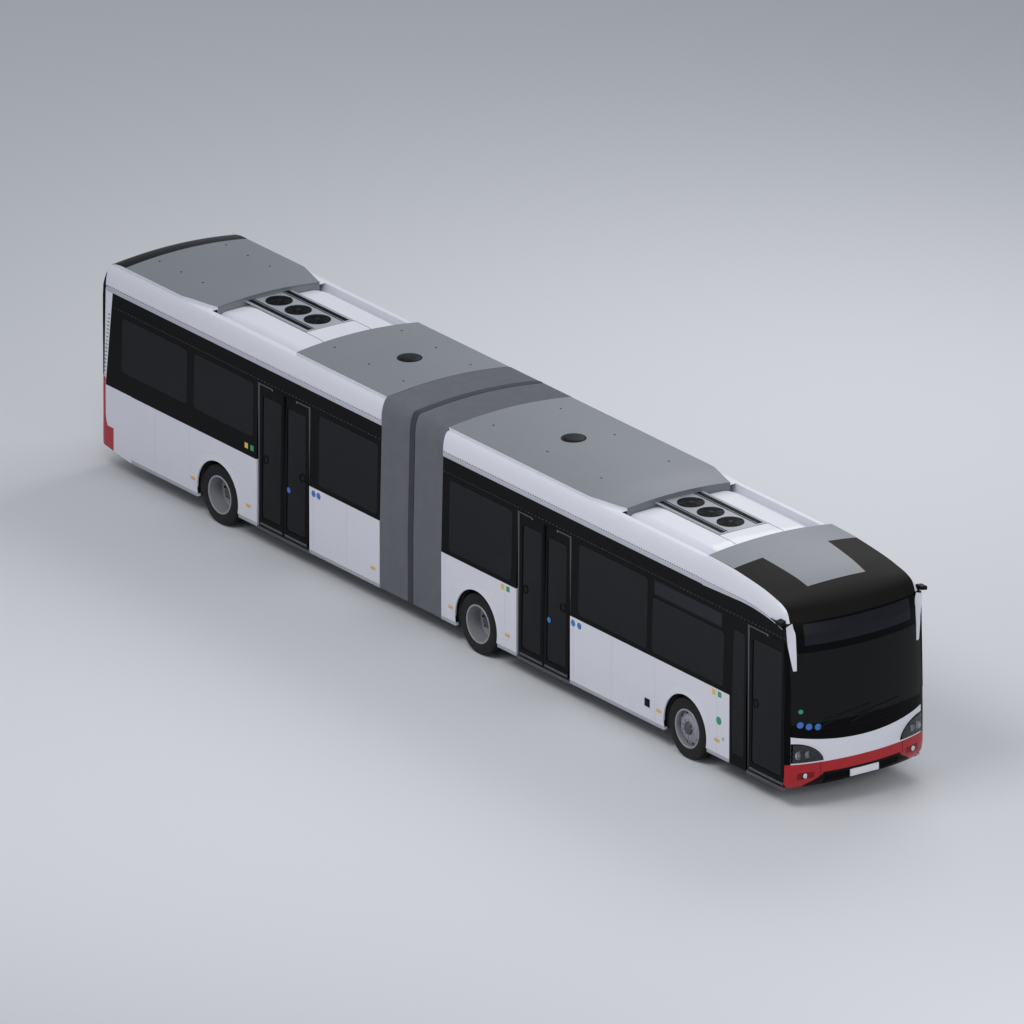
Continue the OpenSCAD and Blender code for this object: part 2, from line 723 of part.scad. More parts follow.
module front_axle() color(steel) {
    spring_pads(front_x);
    block([front_x - 60, -900, beam_z0], [front_x + 60, 900, beam_z1]);
    for (s = [-1, 1]) side(s) {
        block([front_x - 55, 840, beam_z1 - 10], [front_x + 55, 900, wheel_z + knuckle_h + play + ear_t]);
        for (z = [wheel_z - knuckle_h - play - ear_t, wheel_z + knuckle_h + play]) difference() {
            union() {
                block([front_x - 45, 850, z], [front_x + 45, kingpin_y, z + ear_t]);
                translate([front_x, kingpin_y, z]) cylinder(r = 50, h = ear_t, $fn = 48);
            }
            translate([front_x, kingpin_y, z - 1])
                cylinder(r = kingpin_r + pin_play, h = ear_t + 2, $fn = 48);
        }
    }
}

module knuckle(s) color(steel) side(s) {
    pin_h = knuckle_h + play + ear_t;
    translate([front_x, kingpin_y, wheel_z - pin_h]) cylinder(r = kingpin_r, h = 2 * pin_h, $fn = 48);
    translate([front_x, kingpin_y, wheel_z - knuckle_h]) cylinder(r = 55, h = 2 * knuckle_h, $fn = 48);
    translate([front_x, kingpin_y, wheel_z]) rotate([-90, 0, 0])
        cylinder(r = spindle_r, h = track_y + 110 - kingpin_y, $fn = 48);
}

hub_inner_y = track_y - twin_gap - tyre_w / 2 - 10;   // inboard of the inner twin tyre
module fixed_axle(x) color(steel) {
    spring_pads(x);
    block([x - 60, -hub_inner_y, beam_z0], [x + 60, hub_inner_y, beam_z1]);
    for (s = [-1, 1]) side(s) {
        block([x - 110, hub_inner_y - 90, beam_z0], [x + 110, hub_inner_y, wheel_z + 120]);
        translate([x, hub_inner_y - 10, wheel_z]) rotate([-90, 0, 0])
            cylinder(r = spindle_r, h = track_y - 20 - hub_inner_y, $fn = 48);
    }
}
module mid_axle() fixed_axle(mid_x);
module rear_axle() fixed_axle(rear_x);

// Places a wheel's axis: local z points outward on side s
module at_wheel(x, s) {
    translate([x, s * track_y, wheel_z]) rotate([-90 * s, 0, 0]) children();
}

module tyre() {
    h = tyre_w / 2;
    rotate_extrude($fn = 96) polygon([[rim_r + seam, -h + 40], [rim_r + 40, -h + 8], [rim_r + 105, -h],
        [tyre_r - 25, -h + 8], [tyre_r - 8, -h + 20], [tyre_r, -h + 38], [tyre_r, h - 38],
        [tyre_r - 8, h - 20], [tyre_r - 25, h - 8], [rim_r + 105, h], [rim_r + 40, h - 8],
        [rim_r + seam, h - 40]]);
}

// Rim barrel between the flanges
module barrel() {
    h = tyre_w / 2 - 10;
    rotate_extrude($fn = 96) polygon([[rim_r - 12, -h], [rim_r + 15, -h], [rim_r + 15, -h + 10],
        [rim_r, -h + 14], [rim_r, h - 14], [rim_r + 15, h - 10], [rim_r + 15, h], [rim_r - 12, h]]);
}

// Disc that turns on the spindle. Columns: radius, offset outward
module disc(points, t) {
    rotate_extrude($fn = 96) polygon(concat(points, [for (p = reversed(points)) [p[0], p[1] + t]]));
}

module steer_rim() {
    barrel();
    disc([[rim_r - 8, 40], [230, 70], [190, 85], [105, 88], [spindle_r + pin_play, 88]], 14);
    disc([[105, 88], [spindle_r + pin_play, 88]], 30);
}

module twin_rim() {
    barrel();
    translate([0, 0, -twin_gap]) barrel();
    face = -twin_gap / 2 - 2;
    disc([[rim_r - 8, -tyre_w / 2 + 12], [230, face], [spindle_r + pin_play, face]], 16);
    disc([[rim_r - 8, -twin_gap + tyre_w / 2 - 28], [230, face - 12],
          [spindle_r + pin_play, face - 12]], 16);
    disc([[110, face], [spindle_r + pin_play, face]], twin_gap / 2 - 20);
}

module twin_tyres(x, s) color(black) at_wheel(x, s) {
    tyre();
    translate([0, 0, -twin_gap]) tyre();
}
module twin_rims(x, s) color(steel) at_wheel(x, s) twin_rim();

// ---------------------------------------------------------------- articulation

module turntable() color(black) {
    translate([pivot_x, 0, floor_z - floor_t]) cylinder(r = table_r, h = floor_t, $fn = 128);
    translate([pivot_x, 0, layer_z(2)]) cylinder(r = pin_r, h = floor_z - floor_t - layer_z(2) + 1, $fn = 64);
    along_x(pivot_x - hoop_l / 2, pivot_x + hoop_l / 2) difference() {
        outline(0);
        outline(wall_t + 10);
        translate([-body_w, -1]) square([2 * body_w, skirt_z + 1]);
    }
    for (s = [-1, 1]) side(s)
        block([pivot_x - hoop_l / 2, table_r - 60, skirt_z - 20],
              [pivot_x + hoop_l / 2, hw - 5, skirt_z + 20]);
}

module bellows(x0, x1) color(roof_grey) along_x(x0, x1) difference() {
    outline(0);
    outline(wall_t - 10);
    translate([-body_w, -1]) square([2 * body_w, skirt_z + 1]);
}
module bellows_front() bellows(pivot_x + hoop_l / 2, front_end_x);
module bellows_rear() bellows(rear_end_x, pivot_x - hoop_l / 2);

// ---------------------------------------------------------------- doors

arm_gap = 6;
arm_t = leaf_z0 - floor_z - 2 * arm_gap - 5;

// Leaf between x0 and x1, with its pane; dir points from its post to its free edge
module leaf_frame(x0, x1) color(black) mirror([0, 1, 0]) {
    mid = (x0 + x1) / 2;
    inset = stile_w + seam;
    difference() {
        skin(x0, x1, leaf_z0, leaf_z1, 4, 4 + leaf_t);
        wall_cut(x0 + stile_w, x1 - stile_w, glass_z0, glass_z1, door_glass_r);
    }
    intersection() {
        skin(x0 + inset, x1 - inset, glass_z0 + seam, glass_z1 - seam, 14, 14 + glass_t);
        along_y(0, hw + 1) polygon(rounded(x0 + inset, x1 - inset, glass_z0 + seam,
                                           glass_z1 - seam, door_glass_r));
    }
    // pivot pins in the arms' eyes
    for (z = [leaf_z0 - arm_gap - arm_t, leaf_z1]) translate([mid, leaf_y, z])
        cylinder(r = arm_pin_r, h = arm_gap + arm_t, $fn = 32);
}

// Post at px with arms that reach the leaf's middle at mx
arm_pin_r = 8;
module door_post(px, mx) color(steel) mirror([0, 1, 0]) {
    difference() {
        union() {
            translate([px, leaf_y, floor_z]) cylinder(r = post_r, h = header_z - floor_z, $fn = 48);
            for (z = [leaf_z0 - arm_gap - arm_t, leaf_z1 + arm_gap]) {
                block([min(px, mx), leaf_y - 12, z], [max(px, mx), leaf_y + 12, z + arm_t]);
                translate([mx, leaf_y, z]) cylinder(r = 16, h = arm_t, $fn = 32);
            }
        }
        translate([mx, leaf_y, 0]) cylinder(r = arm_pin_r + pin_play, h = roof_z, $fn = 32);
    }
}

// Doors. Columns: post position, leaf's middle
FRONT_DOOR = [front_door_x + post_inset, front_door_x + post_inset + leaf_gap + single_leaf_w / 2];
function pair(x) = [
    [x + post_inset, x + post_inset + leaf_gap + double_leaf_w / 2],
    [x + double_w - post_inset, x + double_w - post_inset - leaf_gap - double_leaf_w / 2]];
MID_DOOR = pair(mid_door_x);
REAR_DOOR = pair(rear_door_x);
module leaf(door, w) leaf_frame(door[1] - w / 2, door[1] + w / 2);

// ---------------------------------------------------------------- nodes

front_floor();
front_wheel_boxes();
front_lower_panels();
front_window_band();
front_windows();
front_roof();
front_roof_covers();
front_battery();
front_air_unit();
front_dome();
windscreen();
front_mask();
headlamps();
front_bumper();
wipers();
camera_pods();
dashboard();
front_seats();
front_axle();
rear_floor();
rear_lower_panels();
rear_window_band();
rear_windows();
rear_roof();
rear_roof_covers();
rear_batteries();
rear_air_unit();
tail_panel();
tail_lamps();
rear_bumper();
rear_seats();
mid_axle();
rear_axle();
turntable();
bellows_front();
bellows_rear();
knuckle(1);  // left_knuckle
knuckle(-1);  // right_knuckle
color(black) at_wheel(front_x, 1) tyre();  // front_left_tyre
color(steel) at_wheel(front_x, 1) steer_rim();  // front_left_rim
twin_tyres(mid_x, 1);  // mid_left_tyres
twin_rims(mid_x, 1);  // mid_left_rims
twin_tyres(rear_x, 1);  // rear_left_tyres
twin_rims(rear_x, 1);  // rear_left_rims
color(black) at_wheel(front_x, -1) tyre();  // front_right_tyre
color(steel) at_wheel(front_x, -1) steer_rim();  // front_right_rim
twin_tyres(mid_x, -1);  // mid_right_tyres
twin_rims(mid_x, -1);  // mid_right_rims
twin_tyres(rear_x, -1);  // rear_right_tyres
twin_rims(rear_x, -1);  // rear_right_rims
leaf(FRONT_DOOR, single_leaf_w);  // front_door_leaf
door_post(FRONT_DOOR[0], FRONT_DOOR[1]);  // front_door_post
leaf(MID_DOOR[0], double_leaf_w);  // mid_door_rear_leaf
door_post(MID_DOOR[0][0], MID_DOOR[0][1]);  // mid_door_rear_post
leaf(MID_DOOR[1], double_leaf_w);  // mid_door_front_leaf
door_post(MID_DOOR[1][0], MID_DOOR[1][1]);  // mid_door_front_post
leaf(REAR_DOOR[0], double_leaf_w);  // rear_door_rear_leaf
door_post(REAR_DOOR[0][0], REAR_DOOR[0][1]);  // rear_door_rear_post
leaf(REAR_DOOR[1], double_leaf_w);  // rear_door_front_leaf
door_post(REAR_DOOR[1][0], REAR_DOOR[1][1]);  // rear_door_front_post
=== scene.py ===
"""Looks of the articulated city bus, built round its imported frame. Metres, +X forward, +Y left, +Z up."""

from math import atan2, cos, pi, radians, sin, sqrt

import bpy
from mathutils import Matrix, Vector


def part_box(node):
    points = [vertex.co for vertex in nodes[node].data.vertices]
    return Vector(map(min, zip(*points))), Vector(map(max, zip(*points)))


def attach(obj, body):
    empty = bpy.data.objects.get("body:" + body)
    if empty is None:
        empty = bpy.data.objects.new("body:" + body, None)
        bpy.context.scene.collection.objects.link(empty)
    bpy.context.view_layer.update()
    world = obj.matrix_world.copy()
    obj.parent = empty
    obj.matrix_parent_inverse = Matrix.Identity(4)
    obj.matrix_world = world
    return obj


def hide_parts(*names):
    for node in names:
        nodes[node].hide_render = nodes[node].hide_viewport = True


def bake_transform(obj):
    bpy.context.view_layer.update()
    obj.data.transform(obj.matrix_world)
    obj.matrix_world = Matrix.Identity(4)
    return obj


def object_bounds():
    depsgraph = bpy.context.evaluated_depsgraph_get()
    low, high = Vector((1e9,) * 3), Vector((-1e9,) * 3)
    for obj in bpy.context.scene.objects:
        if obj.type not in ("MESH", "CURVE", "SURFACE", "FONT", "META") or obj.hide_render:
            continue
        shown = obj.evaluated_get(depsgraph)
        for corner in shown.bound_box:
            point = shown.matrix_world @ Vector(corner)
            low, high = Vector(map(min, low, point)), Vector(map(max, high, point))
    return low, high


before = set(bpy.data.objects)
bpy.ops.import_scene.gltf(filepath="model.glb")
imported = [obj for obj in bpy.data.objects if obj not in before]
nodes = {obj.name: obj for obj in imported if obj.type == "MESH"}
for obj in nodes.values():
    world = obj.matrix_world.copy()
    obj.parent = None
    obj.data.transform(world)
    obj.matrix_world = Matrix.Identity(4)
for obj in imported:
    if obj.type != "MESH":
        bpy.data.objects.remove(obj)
cad_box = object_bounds()


# ------------------------------------------------------------------ sizes

# The body's outline, taken from the frame
BODY_LOW, BODY_HIGH = cad_box[0], cad_box[1]
NOSE_X = BODY_HIGH[0]
TAIL_X = BODY_LOW[0]
ROOF_Z = 3.42
SKIRT_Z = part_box("front_lower_panels")[0][2]
BELT_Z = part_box("front_lower_panels")[1][2]
BAND_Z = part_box("front_window_band")[1][2]
HALF_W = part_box("front_lower_panels")[1][1]
LEAN = 0.038
FRONT_END_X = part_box("front_roof")[0][0]
REAR_END_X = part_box("rear_roof")[1][0]
HOOP = [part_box("turntable")[0][0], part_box("turntable")[1][0]]
PIVOT_X = (HOOP[0] + HOOP[1]) / 2
HOOP_HALF = 0.065
WHEEL_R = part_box("front_left_tyre")[1][2] / 2
FRONT_AXLE = (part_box("front_left_tyre")[0][0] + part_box("front_left_tyre")[1][0]) / 2
MID_AXLE = (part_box("mid_left_tyres")[0][0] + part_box("mid_left_tyres")[1][0]) / 2
REAR_AXLE = (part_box("rear_left_tyres")[0][0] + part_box("rear_left_tyres")[1][0]) / 2
SHOULDER_Z = BAND_Z + 0.08
RAIL_Z = ROOF_Z - 0.13
RAIL_Y = HALF_W - 0.145
DOME_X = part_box("front_roof")[1][0]
CORNER_X = NOSE_X - 0.275
TAIL_CORNER_X = TAIL_X + 0.215


# ------------------------------------------------------------------ camera and stage

def make_camera():
    """A very long lens, so that lengthwise lines stay parallel."""
    azimuth, elevation = radians(54.5), radians(20.65)
    aim = Vector((-0.013, 0.057, 1.708))
    back = Vector((sin(azimuth) * cos(elevation), -cos(azimuth) * cos(elevation), sin(elevation)))
    view_width = 15.44
    data = bpy.data.cameras.new("camera")
    data.sensor_width = 36.0
    data.lens = 1000.0
    distance = view_width * data.lens / data.sensor_width
    data.clip_end = 2000.0
    camera = bpy.data.objects.new("camera", data)
    bpy.context.scene.collection.objects.link(camera)
    camera.location = aim + back * distance
    camera.rotation_euler = back.to_track_quat("Z", "Y").to_euler()
    bpy.context.scene.camera = camera


def add_lamp(name, place, aim, size, power):
    data = bpy.data.lights.new(name, "AREA")
    data.shape = "RECTANGLE"
    data.size = size
    data.size_y = size * 0.6
    data.energy = power
    lamp = bpy.data.objects.new(name, data)
    lamp.location = place
    lamp.rotation_euler = (Vector(place) - Vector(aim)).to_track_quat("Z", "Y").to_euler()
    bpy.context.scene.collection.objects.link(lamp)


def make_studio():
    bpy.context.scene.view_settings.view_transform = "Standard"
    world = bpy.data.worlds.new("studio")
    world.use_nodes = True
    background = world.node_tree.nodes["Background"]
    background.inputs["Color"].default_value = (0.80, 0.84, 0.92, 1.0)
    background.inputs["Strength"].default_value = 0.50
    bpy.context.scene.world = world
    add_lamp("key", (4.0, -13.0, 20.0), (0.0, 0.0, 1.5), 14.0, 1900.0)
    add_lamp("front", (24.0, -3.0, 9.0), (6.0, 0.0, 1.5), 10.0, 700.0)
    add_lamp("fill", (-6.0, 14.0, 16.0), (0.0, 0.0, 2.0), 14.0, 1500.0)
    bpy.ops.mesh.primitive_plane_add(size=160.0, location=(0.0, 0.0, 0.0))
    floor = bpy.context.object
    floor.name = "studio_floor"
    floor.data.materials.append(plain_floor())


# ------------------------------------------------------------------ material helpers

def new_group(name, inputs, outputs):
    """An empty shader group. inputs and outputs are (name, socket type, default) rows."""
    group = bpy.data.node_groups.new(name, "ShaderNodeTree")
    for label, kind, value in inputs:
        socket = group.interface.new_socket(label, in_out="INPUT", socket_type=kind)
        socket.default_value = value
    for label, kind in outputs:
        group.interface.new_socket(label, in_out="OUTPUT", socket_type=kind)
    return group, group.nodes.new("NodeGroupInput"), group.nodes.new("NodeGroupOutput")


def math_node(tree, operation, a, b=None, clamp=False):
    node = tree.nodes.new("ShaderNodeMath")
    node.operation = operation
    node.use_clamp = clamp
    for socket, value in zip(node.inputs, (a, b)):
        if value is None:
            continue
        if isinstance(value, (int, float)):
            socket.default_value = value
        else:
            tree.links.new(value, socket)
    return node.outputs[0]


def mix_colour(tree, factor, a, b):
    node = tree.nodes.new("ShaderNodeMix")
    node.data_type = "RGBA"
    for socket, value in ((node.inputs[0], factor), (node.inputs[6], a), (node.inputs[7], b)):
        if isinstance(value, (int, float)):
            socket.default_value = value
        elif isinstance(value, (tuple, list)):
            socket.default_value = (*value[:3], 1.0)
        else:
            tree.links.new(value, socket)
    return node.outputs[2]


def make_mottle_group():
    """Slow and fine unevenness, from 0 to 1, for colour and roughness."""
    group, source, sink = new_group("mottle", [("Coarse Scale", "NodeSocketFloat", 2.0),
        ("Fine Scale", "NodeSocketFloat", 60.0)],
        [("Coarse", "NodeSocketFloat"), ("Fine", "NodeSocketFloat")])
    place = group.nodes.new("ShaderNodeTexCoord")
    for label, scale in (("Coarse", "Coarse Scale"), ("Fine", "Fine Scale")):
        noise = group.nodes.new("ShaderNodeTexNoise")
        noise.inputs["Detail"].default_value = 3.0
        group.links.new(place.outputs["Object"], noise.inputs["Vector"])
        group.links.new(source.outputs[scale], noise.inputs["Scale"])
        group.links.new(noise.outputs["Fac"], sink.inputs[label])
    return group


def make_dust_group():
    """Road dust that thickens towards the ground, broken up by noise."""
    group, source, sink = new_group("road_dust", [("Top", "NodeSocketFloat", 1.0),
        ("Amount", "NodeSocketFloat", 0.3)], [("Mask", "NodeSocketFloat")])
    place = group.nodes.new("ShaderNodeTexCoord")
    split = group.nodes.new("ShaderNodeSeparateXYZ")
    group.links.new(place.outputs["Object"], split.inputs[0])
    noise = group.nodes.new("ShaderNodeTexNoise")
    noise.inputs["Scale"].default_value = 9.0
    noise.inputs["Detail"].default_value = 6.0
    group.links.new(place.outputs["Object"], noise.inputs["Vector"])
    height = math_node(group, "DIVIDE", split.outputs["Z"], source.outputs["Top"])
    low = math_node(group, "SUBTRACT", 1.0, height, clamp=True)
    uneven = math_node(group, "MULTIPLY", low, noise.outputs["Fac"])
    mask = math_node(group, "MULTIPLY", uneven, source.outputs["Amount"], clamp=True)
    group.links.new(mask, sink.inputs["Mask"])
    return group


MOTTLE = make_mottle_group()
DUST = make_dust_group()
DUST_COLOUR = (0.30, 0.27, 0.23)


def new_material(name):
    material = bpy.data.materials.new(name)
    material.use_nodes = True
    tree = material.node_tree
    return material, tree, tree.nodes["Principled BSDF"]


def finish(name, colour, rough, metallic=0.0, coat=0.0, spread=0.06, coarse=2.0, fine=60.0,
           bump=0.02, dust=0.0, dust_top=1.0, specular=None):
    """A solid finish with uneven colour and roughness, a fine bump and some road dust."""
    material, tree, shader = new_material(name)
    mottle = tree.nodes.new("ShaderNodeGroup")
    mottle.node_tree = MOTTLE
    mottle.inputs["Coarse Scale"].default_value = coarse
    mottle.inputs["Fine Scale"].default_value = fine
    darker = [c * (1.0 - spread) for c in colour]
    lighter = [min(1.0, c * (1.0 + spread)) for c in colour]
    shade = mix_colour(tree, mottle.outputs["Coarse"], darker, lighter)
    roughness = math_node(tree, "ADD", math_node(tree, "MULTIPLY", mottle.outputs["Fine"], 0.12),
                          rough - 0.06)
    if dust > 0.0:
        veil = tree.nodes.new("ShaderNodeGroup")
        veil.node_tree = DUST
        veil.inputs["Top"].default_value = dust_top
        veil.inputs["Amount"].default_value = dust
        shade = mix_colour(tree, veil.outputs["Mask"], shade, DUST_COLOUR)
        roughness = math_node(tree, "ADD", roughness, veil.outputs["Mask"])
    tree.links.new(shade, shader.inputs["Base Color"])
    tree.links.new(roughness, shader.inputs["Roughness"])
    shader.inputs["Metallic"].default_value = metallic
    shader.inputs["Coat Weight"].default_value = coat
    shader.inputs["Coat Roughness"].default_value = 0.05
    if specular is not None:
        shader.inputs["Specular IOR Level"].default_value = specular
    if bump > 0.0:
        relief = tree.nodes.new("ShaderNodeBump")
        relief.inputs["Strength"].default_value = bump
        relief.inputs["Distance"].default_value = 0.002
        tree.links.new(mottle.outputs["Fine"], relief.inputs["Height"])
        tree.links.new(relief.outputs["Normal"], shader.inputs["Normal"])
    return material


def glass(name, tint, clear, bending=1.2, rough=0.03, spread=0.1):
    """Tinted glass: faint unevenness in its tint."""
    material, tree, shader = new_material(name)
    mottle = tree.nodes.new("ShaderNodeGroup")
    mottle.node_tree = MOTTLE
    mottle.inputs["Coarse Scale"].default_value = 1.5
    mottle.inputs["Fine Scale"].default_value = 30.0
    shade = mix_colour(tree, mottle.outputs["Coarse"], [c * (1 - spread) for c in tint], tint)
    tree.links.new(shade, shader.inputs["Base Color"])
    roughness = math_node(tree, "ADD", math_node(tree, "MULTIPLY", mottle.outputs["Fine"], 0.004), rough)
    tree.links.new(roughness, shader.inputs["Roughness"])
    shader.inputs["Transmission Weight"].default_value = clear
    shader.inputs["IOR"].default_value = bending
    return material


def plain_floor():
    material, tree, shader = new_material("pale_floor")
    noise = tree.nodes.new("ShaderNodeTexNoise")
    noise.inputs["Scale"].default_value = 0.4
    shade = mix_colour(tree, noise.outputs["Fac"], (0.66, 0.67, 0.69), (0.70, 0.71, 0.73))
    tree.links.new(shade, shader.inputs["Base Color"])
    shader.inputs["Roughness"].default_value = 0.75
    return material


WHITE = finish("white_paint", (0.72, 0.72, 0.78), 0.38, coat=0.15, specular=0.4, spread=0.02, fine=220.0,
               bump=0.015, dust=0.16, dust_top=0.9)
BLACK = finish("black_gloss_paint", (0.0025, 0.0025, 0.003), 0.28, spread=0.1, fine=260.0, bump=0.008,
               specular=0.06)
DOME_BLACK = finish("dome_black_paint", (0.008, 0.007, 0.006), 0.6, spread=0.12, fine=200.0, bump=0.02,
                    specular=0.10)
# Red paint at half the bumper red's brightness: painted shade for the fog lamps' recesses.
RED_PAINTED_RECESS_SHADE = finish("red_paint_with_painted_recess_shade", (0.20, 0.002, 0.005), 0.40, spread=0.05, fine=220.0, bump=0.015,
                  specular=0.3)
STRIP_WHITE = finish("drip_strip_paint", (0.50, 0.50, 0.56), 0.40, spread=0.03, fine=220.0, bump=0.01)
JOINT_GREY = finish("panel_joint_grey", (0.40, 0.40, 0.44), 0.50, spread=0.05, fine=220.0, bump=0.01)
BLACK_SATIN = finish("black_satin_plastic", (0.005, 0.005, 0.006), 0.50, spread=0.15, fine=400.0, bump=0.08,
                     specular=0.12)
RUBBER = finish("seal_rubber", (0.003, 0.003, 0.003), 0.6, specular=0.10, spread=0.2, fine=300.0, bump=0.1)
RED = finish("red_paint", (0.40, 0.002, 0.008), 0.30, coat=0.25, specular=0.35, spread=0.04, fine=220.0,
             bump=0.015, dust=0.12, dust_top=0.7)
ROOF_GREY = finish("grey_roof_paint", (0.19, 0.205, 0.225), 0.48, spread=0.05, coarse=1.2, fine=160.0,
                   bump=0.03)
SILVER = finish("silver_trim", (0.42, 0.44, 0.48), 0.38, metallic=0.3, spread=0.05, fine=200.0, bump=0.02,
                dust=0.15, dust_top=0.6)
CHASSIS = finish("chassis_paint", (0.035, 0.035, 0.038), 0.6, spread=0.25, fine=80.0, bump=0.15, dust=0.5,
                 dust_top=0.9)
RIM = finish("rim_paint", (0.34, 0.35, 0.38), 0.42, metallic=0.35, spread=0.1, fine=120.0, bump=0.05,
             dust=0.35, dust_top=1.0)
DARK_METAL = finish("dark_hub_metal", (0.10, 0.10, 0.11), 0.5, metallic=0.5, spread=0.2, fine=90.0, bump=0.08)
NUT_METAL = finish("nut_steel", (0.45, 0.46, 0.48), 0.35, metallic=0.8, spread=0.1, fine=100.0)
TYRE = finish("tyre_rubber", (0.008, 0.008, 0.009), 0.75, spread=0.3, coarse=6.0, fine=150.0, bump=0.25,
              dust=0.06,
              dust_top=1.1, specular=0.3)
BELLOWS = finish("bellows_fabric", (0.165, 0.168, 0.190), 0.85, specular=0.2, spread=0.12, coarse=5.0,
                 fine=500.0, bump=0.35)
BELLOWS_DARK = finish("hoop_fabric", (0.048, 0.049, 0.056), 0.7, specular=0.25, spread=0.12, coarse=5.0,
                      fine=500.0, bump=0.3)
SEAT_CLOTH = finish("seat_cloth", (0.05, 0.06, 0.11), 0.9, spread=0.35, coarse=25.0, fine=700.0, bump=0.4)
SEAT_SHELL = finish("seat_shell_plastic", (0.06, 0.06, 0.065), 0.5, spread=0.1, fine=250.0, bump=0.1)
RAIL_YELLOW = finish("handrail_yellow", (0.65, 0.42, 0.03), 0.35, coat=0.3, spread=0.06, fine=120.0)
FLOORING = finish("floor_covering", (0.08, 0.085, 0.09), 0.7, spread=0.3, coarse=40.0, fine=400.0, bump=0.2)
AMBER = finish("amber_lens", (0.75, 0.40, 0.08), 0.2, coat=0.5, spread=0.1, coarse=60.0, fine=300.0)
RED_LENS = finish("red_lens", (0.45, 0.01, 0.01), 0.18, coat=0.5, spread=0.15, coarse=60.0, fine=300.0)
CLEAR_LENS = finish("silver_reflector", (0.75, 0.77, 0.8), 0.15, metallic=0.9, spread=0.08, coarse=40.0,
                    fine=200.0)
BLUE_LABEL = finish("blue_label", (0.03, 0.16, 0.5), 0.4, spread=0.06, coarse=30.0, fine=200.0)
GREEN_LABEL = finish("green_label", (0.02, 0.30, 0.14), 0.4, spread=0.06, coarse=30.0, fine=200.0)
YELLOW_LABEL = finish("yellow_label", (0.75, 0.5, 0.1), 0.4, spread=0.06, coarse=30.0, fine=200.0)
WHITE_LABEL = finish("white_label", (0.75, 0.76, 0.78), 0.4, spread=0.04, coarse=30.0, fine=200.0)
DECK_GREY = finish("fan_deck_grey", (0.33, 0.35, 0.38), 0.45, spread=0.05, coarse=4.0, fine=200.0, bump=0.03)
SIDE_GLASS = glass("dark_side_glass", (0.016, 0.0165, 0.020), 0.45)
SCREEN_GLASS = glass("windscreen_glass", (0.022, 0.0225, 0.026), 0.60)
LAMP_GLASS = glass("lamp_cover_glass", (0.55, 0.56, 0.58), 1.0, 1.45)
DISPLAY = finish("display_panel", (0.010, 0.011, 0.016), 0.30, specular=0.15, spread=0.2, coarse=8.0,
                 fine=300.0, bump=0.0)


# ------------------------------------------------------------------ mesh helpers

def clear_selection():
    if bpy.context.object and bpy.context.object.mode != "OBJECT":
        bpy.ops.object.mode_set(mode="OBJECT")
    bpy.ops.object.select_all(action="DESELECT")


def only(obj):
    clear_selection()
    obj.select_set(True)
    bpy.context.view_layer.objects.active = obj


def apply_modifier(obj, kind, **values):
    only(obj)
    modifier = obj.modifiers.new(kind.lower(), kind)
    for key, value in values.items():
        setattr(modifier, key, value)
    bpy.ops.object.modifier_apply(modifier=modifier.name)


def place_in_mesh(obj):
    only(obj)
    bpy.ops.object.transform_apply(location=True, rotation=True, scale=True)


def settle(obj, name, body, material, angle=35.0):
    """Gives a finished piece its name, body, material and shading."""
    only(obj)
    bpy.ops.object.shade_smooth_by_angle(angle=radians(angle))
    obj.name = name
    obj.data.materials.clear()
    for each in material if isinstance(material, (list, tuple)) else [material]:
        obj.data.materials.append(each)
    if body:
        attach(obj, body)
    return obj


def patch(name, across, along, point, body, material, thick=0.004, out=None, angle=35.0):
    """A grid laid on the surface point(u, v), turned to face out and given a wall inward."""
    clear_selection()
    bpy.ops.mesh.primitive_grid_add(x_subdivisions=across, y_subdivisions=along, size=2.0)
    obj = bpy.context.object
    for vertex in obj.data.vertices:
        vertex.co = point((vertex.co.x + 1.0) / 2.0, (vertex.co.y + 1.0) / 2.0)
    obj.data.update()
    bpy.ops.object.mode_set(mode="EDIT")
    bpy.ops.mesh.select_all(action="SELECT")
    bpy.ops.mesh.remove_doubles(threshold=0.00002)
    bpy.ops.mesh.dissolve_degenerate(threshold=0.00001)
    bpy.ops.object.mode_set(mode="OBJECT")
    if out is not None:
        total = sum((p.normal * p.area for p in obj.data.polygons), Vector())
        if total.dot(Vector(out)) < 0.0:
            bpy.ops.object.mode_set(mode="EDIT")
            bpy.ops.mesh.select_all(action="SELECT")
            bpy.ops.mesh.flip_normals()
            bpy.ops.object.mode_set(mode="OBJECT")
    if thick:
        apply_modifier(obj, "SOLIDIFY", thickness=thick, offset=-1.0)
    settle(obj, name, body, material, angle)
    return obj


def box(name, low, high, body, material, bevel=0.004, segments=2):
    """A block with rounded edges."""
    clear_selection()
    bpy.ops.mesh.primitive_cube_add(size=1.0, location=[(a + b) / 2 for a, b in zip(low, high)])
    obj = bpy.context.object
    obj.scale = [b - a for a, b in zip(low, high)]
    place_in_mesh(obj)
    if bevel:
        apply_modifier(obj, "BEVEL", width=bevel, segments=segments, limit_method="ANGLE")
    settle(obj, name, body, material)
    return obj


def rod(name, start, end, radius, body, material, sides=16, bevel=0.0):
    """A round bar between two points."""
    clear_selection()
    start, end = Vector(start), Vector(end)
    bpy.ops.mesh.primitive_cylinder_add(vertices=sides, radius=radius, depth=(end - start).length,
        location=(start + end) / 2, rotation=(end - start).to_track_quat("Z", "Y").to_euler())
    obj = bpy.context.object
    place_in_mesh(obj)
    if bevel:
        apply_modifier(obj, "BEVEL", width=bevel, segments=2, limit_method="ANGLE")
    settle(obj, name, body, material)
    return obj


